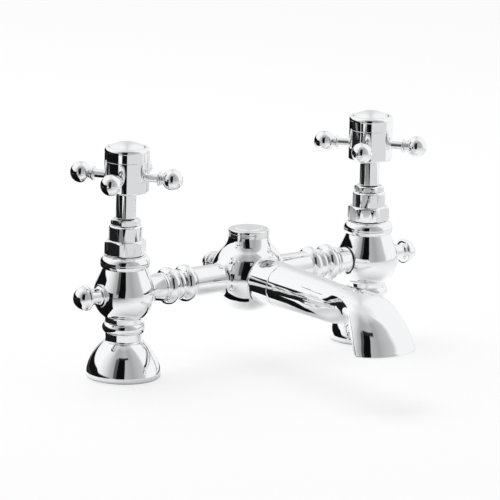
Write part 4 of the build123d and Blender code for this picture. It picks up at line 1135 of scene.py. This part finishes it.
# Light and dark fields of the studio, each laid over those before it: whether its sides lean,
# its reach across and up in degrees, its soft edge, whether its top slopes, and its tone
FIELDS = (
    (False, (3, 90), (-60, -6), 5, False, 0.72),
    (False, (-42, -20), (-60, -9), 2, False, 0.95),
    (False, (-30, -14), (6, 48), 4, False, 0.09),
    (True, (-21.5, 4.5), (-60, 50), 1.5, False, 0.004),
    (False, (-21, 24), (47, 51.5), 2, False, 0.02),
    (False, (-157, -42), (-60, 13), 2, True, 0.006),
    (False, (-90, -41), (-60, 8), 2, False, 0.006),
)
# How far some fields' sides lean with height, and the tops of others slope with direction, and
# between which heights such a top fades
LEAN, SLOPE, SLOPED_TOP = -0.1, 0.40, (-23.6, -25.2)
# Heights between which the ceiling fades in, and its tone
CEILING = (66, 84, 0.75)
# Corners of the table in the frame, and of the dark card on it to the camera's right and towards it
TABLE = ((-0.52, -0.33), (0.52, -0.33), (0.52, 0.45), (-0.52, 0.45))
DARK_CARD = (
    (0.004, 0.025), (0.004, 0.036), (-0.04, 0.031), (-0.065, 0.026), (-0.094, 0.013), (-0.102, 0.035),
    (-0.106, 0.055), (-0.113, 0.100), (-0.165, 0.161), (-0.218, 0.222), (-0.40, 0.43), (-0.75, -0.45),
    (-0.12, -0.12), (-0.05, -0.005), (-0.022, 0.018),
)


def look_matrix(stage):
    """Camera's place and turn as found from the photograph, with the ways to its right and towards it."""
    yaw, pitch = -stage.azimuth, stage.elevation
    right = Vector((cos(yaw), -sin(yaw), 0))
    back = Vector((-sin(yaw) * cos(pitch), -cos(yaw) * cos(pitch), sin(pitch)))
    up = back.cross(right)
    c, s = cos(stage.roll), sin(stage.roll)
    level, tall = right * c + up * s, up * c - right * s
    pixel = stage.distance / (stage.lens / SENSOR * PICTURE)
    off_x, off_y = (LOOK_AT[0] - PICTURE / 2) * pixel, (PICTURE / 2 - LOOK_AT[1]) * pixel
    shift = right * (c * off_x - s * off_y) + up * (s * off_x + c * off_y)
    place = Vector((0, 0, LOOK_HEIGHT)) + back * stage.distance - shift
    turn = Matrix((level, tall, back)).transposed().to_4x4()
    return Matrix.Translation(place) @ turn, right, Vector((back.x, back.y, 0)).normalized()


def board(name, label, corners, tone, rough, gloss):
    """Flat matt board of the stage, returned with its material's tree and shader."""
    made = made_object(name, corners, faces=[range(len(corners))])
    material, tree, shader, _ = surface(label)
    shader.inputs["Base Color"].default_value = (*tone, 1)
    shader.inputs["Roughness"].default_value = rough
    shader.inputs["Specular IOR Level"].default_value = gloss
    made.data.materials.append(material)
    return made, tree, shader


def card(name, corners, tone):
    """Board that only the metal sees."""
    made, tree, shader = board(name, name, corners, tone, 0.9, 0.1)
    made.visible_camera = made.visible_shadow = made.visible_diffuse = False
    made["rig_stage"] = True
    return tree, shader


def make_floor(stage):
    """Pale floor; the camera sees it nearly white with the mixer's shadow, and the metal not at all."""
    corners = [(x * FLOOR_REACH, y * FLOOR_REACH, -0.0002) for x, y in SQUARE_CORNERS]
    floor, tree, shader = board("floor", "Painted board, matt", corners, stage.floor, 0.95, 0.0)
    glow = add(tree, "ShaderNodeEmission", {"Color": (1, 1, 1, 1), "Strength": 1.0})
    path = add(tree, "ShaderNodeLightPath")
    share = add(tree, "ShaderNodeMath", (path.outputs["Is Camera Ray"], FLOOR_GLOW), operation="MULTIPLY")
    mix = add(tree, "ShaderNodeMixShader", (share, shader, glow))
    end = next(n for n in tree.nodes if n.type == "OUTPUT_MATERIAL")
    tree.links.new(mix.outputs[0], end.inputs["Surface"])
    floor.visible_glossy = False
    floor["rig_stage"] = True


def make_world(front, right):
    """Studio that the metal mirrors: walls by direction, with light and dark fields; white to the camera."""
    world = bpy.data.worlds.new("Studio")
    world.use_nodes = True
    tree = world.node_tree
    tree.nodes.clear()
    way = add(tree, "ShaderNodeTexCoord").outputs["Generated"]
    ahead, aside = [
        add(tree, "ShaderNodeVectorMath", (way, tuple(axis)), operation="DOT_PRODUCT").outputs["Value"]
        for axis in (front, right)
    ]
    azimuth = add(tree, "ShaderNodeMath", (aside, ahead), operation="ARCTAN2").outputs[0]
    height = add(tree, "ShaderNodeSeparateXYZ", (way,)).outputs["Z"]
    elevation = add(tree, "ShaderNodeMath", (height,), operation="ARCSINE").outputs[0]
    leaned = add(tree, "ShaderNodeMath", (elevation, LEAN, azimuth), operation="MULTIPLY_ADD").outputs[0]
    sloped = add(tree, "ShaderNodeMath", (azimuth, SLOPE, elevation), operation="MULTIPLY_ADD").outputs[0]
    top, below = SLOPED_TOP
    under = add(tree, "ShaderNodeMapRange", (sloped, radians(top), radians(below), 0, 1))
    turn = add(tree, "ShaderNodeMapRange", (azimuth, -pi, pi, 0, 1))
    ramp = add(tree, "ShaderNodeValToRGB", (turn,))
    stops = ramp.color_ramp.elements
    for at, _ in WALL_TONES[1:-1]:
        stops.new((at + 180) / 360)
    for stop, (at, tone) in zip(stops, WALL_TONES):
        stop.position = (at + 180) / 360
        stop.color = (tone, tone, tone, 1)
    seen = ramp
    for leans, across, up, blur, slopes, tone in FIELDS:
        sides = []
        for value, (low, high) in ((leaned if leans else azimuth, across), (elevation, up)):
            for edge, half in ((low, blur / 2), (high, -blur / 2)):
                ends = radians(edge - half), radians(edge + half)
                sides.append(add(tree, "ShaderNodeMapRange", (value, *ends, 0, 1)))
        inside = sides[0]
        for side in sides[1:] + [under] * slopes:
            inside = add(tree, "ShaderNodeMath", (inside, side), operation="MULTIPLY")
        seen = add(tree, "ShaderNodeMix", {0: inside, 2: seen, 3: tone})
    low, high, tone = CEILING
    ceiling = add(tree, "ShaderNodeMapRange", (elevation, radians(low), radians(high), 0, 1))
    seen = add(tree, "ShaderNodeMix", {0: ceiling, 2: seen, 3: tone})
    path = add(tree, "ShaderNodeLightPath")
    lit = add(tree, "ShaderNodeBackground", {"Color": seen, "Strength": 1.0})
    white = add(tree, "ShaderNodeBackground", {"Color": (1, 1, 1, 1), "Strength": 1.0})
    mix = add(tree, "ShaderNodeMixShader", (path.outputs["Is Camera Ray"], lit, white))
    add(tree, "ShaderNodeOutputWorld", {"Surface": mix})
    bpy.context.scene.world = world


def make_light(stage, front, right):
    """Large soft light above the mixer, a little behind it and to its left."""
    lamp = bpy.data.lights.new("Key", "AREA")
    lamp.shape = "DISK"
    lamp.size = 1.1
    lamp.energy = stage.key
    made = bpy.data.objects.new("Key", lamp)
    made.visible_glossy = False
    made.location = Vector((0, 0, 1.25)) - front * 0.45 - right * 0.35
    made.rotation_mode = "QUATERNION"
    made.rotation_quaternion = (Vector((0, 0, 0.05)) - made.location).to_track_quat("-Z", "Y")
    bpy.context.scene.collection.objects.link(made)


def make_cards(front, right):
    """Table top with a painted pool of light: pale under the mixer and greyer away from it, most of all at
    the left; with a dark card.
    """
    tree, shader = card("table", [(*corner, 0.0004) for corner in TABLE], linear("FFFFFF"))
    place = add(tree, "ShaderNodeTexCoord").outputs["Object"]
    away = add(tree, "ShaderNodeVectorMath", (place,), operation="LENGTH").outputs["Value"]
    aside = add(tree, "ShaderNodeVectorMath", (place, tuple(right)), operation="DOT_PRODUCT")
    # Painted pool of light: the table's tone is pale near the mixer and falls to grey away from it, most of
    # all at the left
    far = add(tree, "ShaderNodeMapRange", (aside.outputs["Value"], -0.15, 0.25, 0.22, 0.72))
    light_pool_fade = add(tree, "ShaderNodeMapRange", (away, 0.14, 0.40, 0, 1))
    tone = add(tree, "ShaderNodeMix", {0: light_pool_fade, 2: 0.93, 3: far})
    tree.links.new(tone.outputs[0], shader.inputs["Base Color"])
    lift = Vector((0, 0, 0.001))
    corners = [right * across + front * ahead + lift for across, ahead in DARK_CARD]
    card("dark card on the table", corners, linear("050505"))


class STAGE_OT_studio(bpy.types.Operator):
    """Set up the pale floor, the studio that the metal mirrors, the soft light and the camera"""

    bl_idname = "bath_filler.studio"
    bl_label = "Studio"

    def execute(self, context):
        stage = chosen().stage
        place, right, front = look_matrix(stage)
        make_floor(stage)
        make_world(front, right)
        make_light(stage, front, right)
        make_cards(front, right)
        camera = bpy.data.objects.new("Camera", bpy.data.cameras.new("Camera"))
        camera.data.lens = stage.lens
        camera.data.sensor_width = SENSOR
        camera.data.clip_end = 50
        camera.matrix_world = place
        context.scene.collection.objects.link(camera)
        context.scene.camera = camera
        context.scene.view_settings.view_transform = "Standard"
        return {"FINISHED"}


OPERATORS = (
    PIECE_OT_finishes, PIECE_OT_foot_bells, PIECE_OT_pillars, PIECE_OT_finials, PIECE_OT_bar_joints,
    PIECE_OT_centre_body, PIECE_OT_top_cap, PIECE_OT_spout, PIECE_OT_headworks, PIECE_OT_handles,
    PIECE_OT_inner_parts, STAGE_OT_studio,
)
GROUPS = (ShapeSettings, ThreadSettings, FinishSettings, StageSettings, MixerSettings)


class VIEW3D_PT_bath_filler(bpy.types.Panel):
    """Lists the mixer's settings and the operators that make it"""

    bl_label = "Bath Filler"
    bl_idname = "VIEW3D_PT_bath_filler"
    bl_space_type = "VIEW_3D"
    bl_region_type = "UI"
    bl_category = "Bath Filler"

    def draw(self, context):
        layout = self.layout
        settings = context.scene.bath_filler
        for group in (settings.shape, settings.threads, settings.finish, settings.stage):
            box = layout.box()
            for name in group.__annotations__:
                box.prop(group, name)
        for operator in OPERATORS:
            layout.operator(operator.bl_idname)


def register():
    """Register the add-on's classes and its settings."""
    for group in GROUPS + OPERATORS + (VIEW3D_PT_bath_filler,):
        bpy.utils.register_class(group)
    bpy.types.Scene.bath_filler = PointerProperty(type=MixerSettings)


def unregister():
    """Remove the settings and the add-on's classes."""
    del bpy.types.Scene.bath_filler
    for group in reversed(GROUPS + OPERATORS + (VIEW3D_PT_bath_filler,)):
        bpy.utils.unregister_class(group)


def main():
    """Make every piece in order."""
    register()
    for operator in OPERATORS:
        group, name = operator.bl_idname.split(".")
        getattr(getattr(bpy.ops, group), name)()


if __name__ == "__main__":
    main()
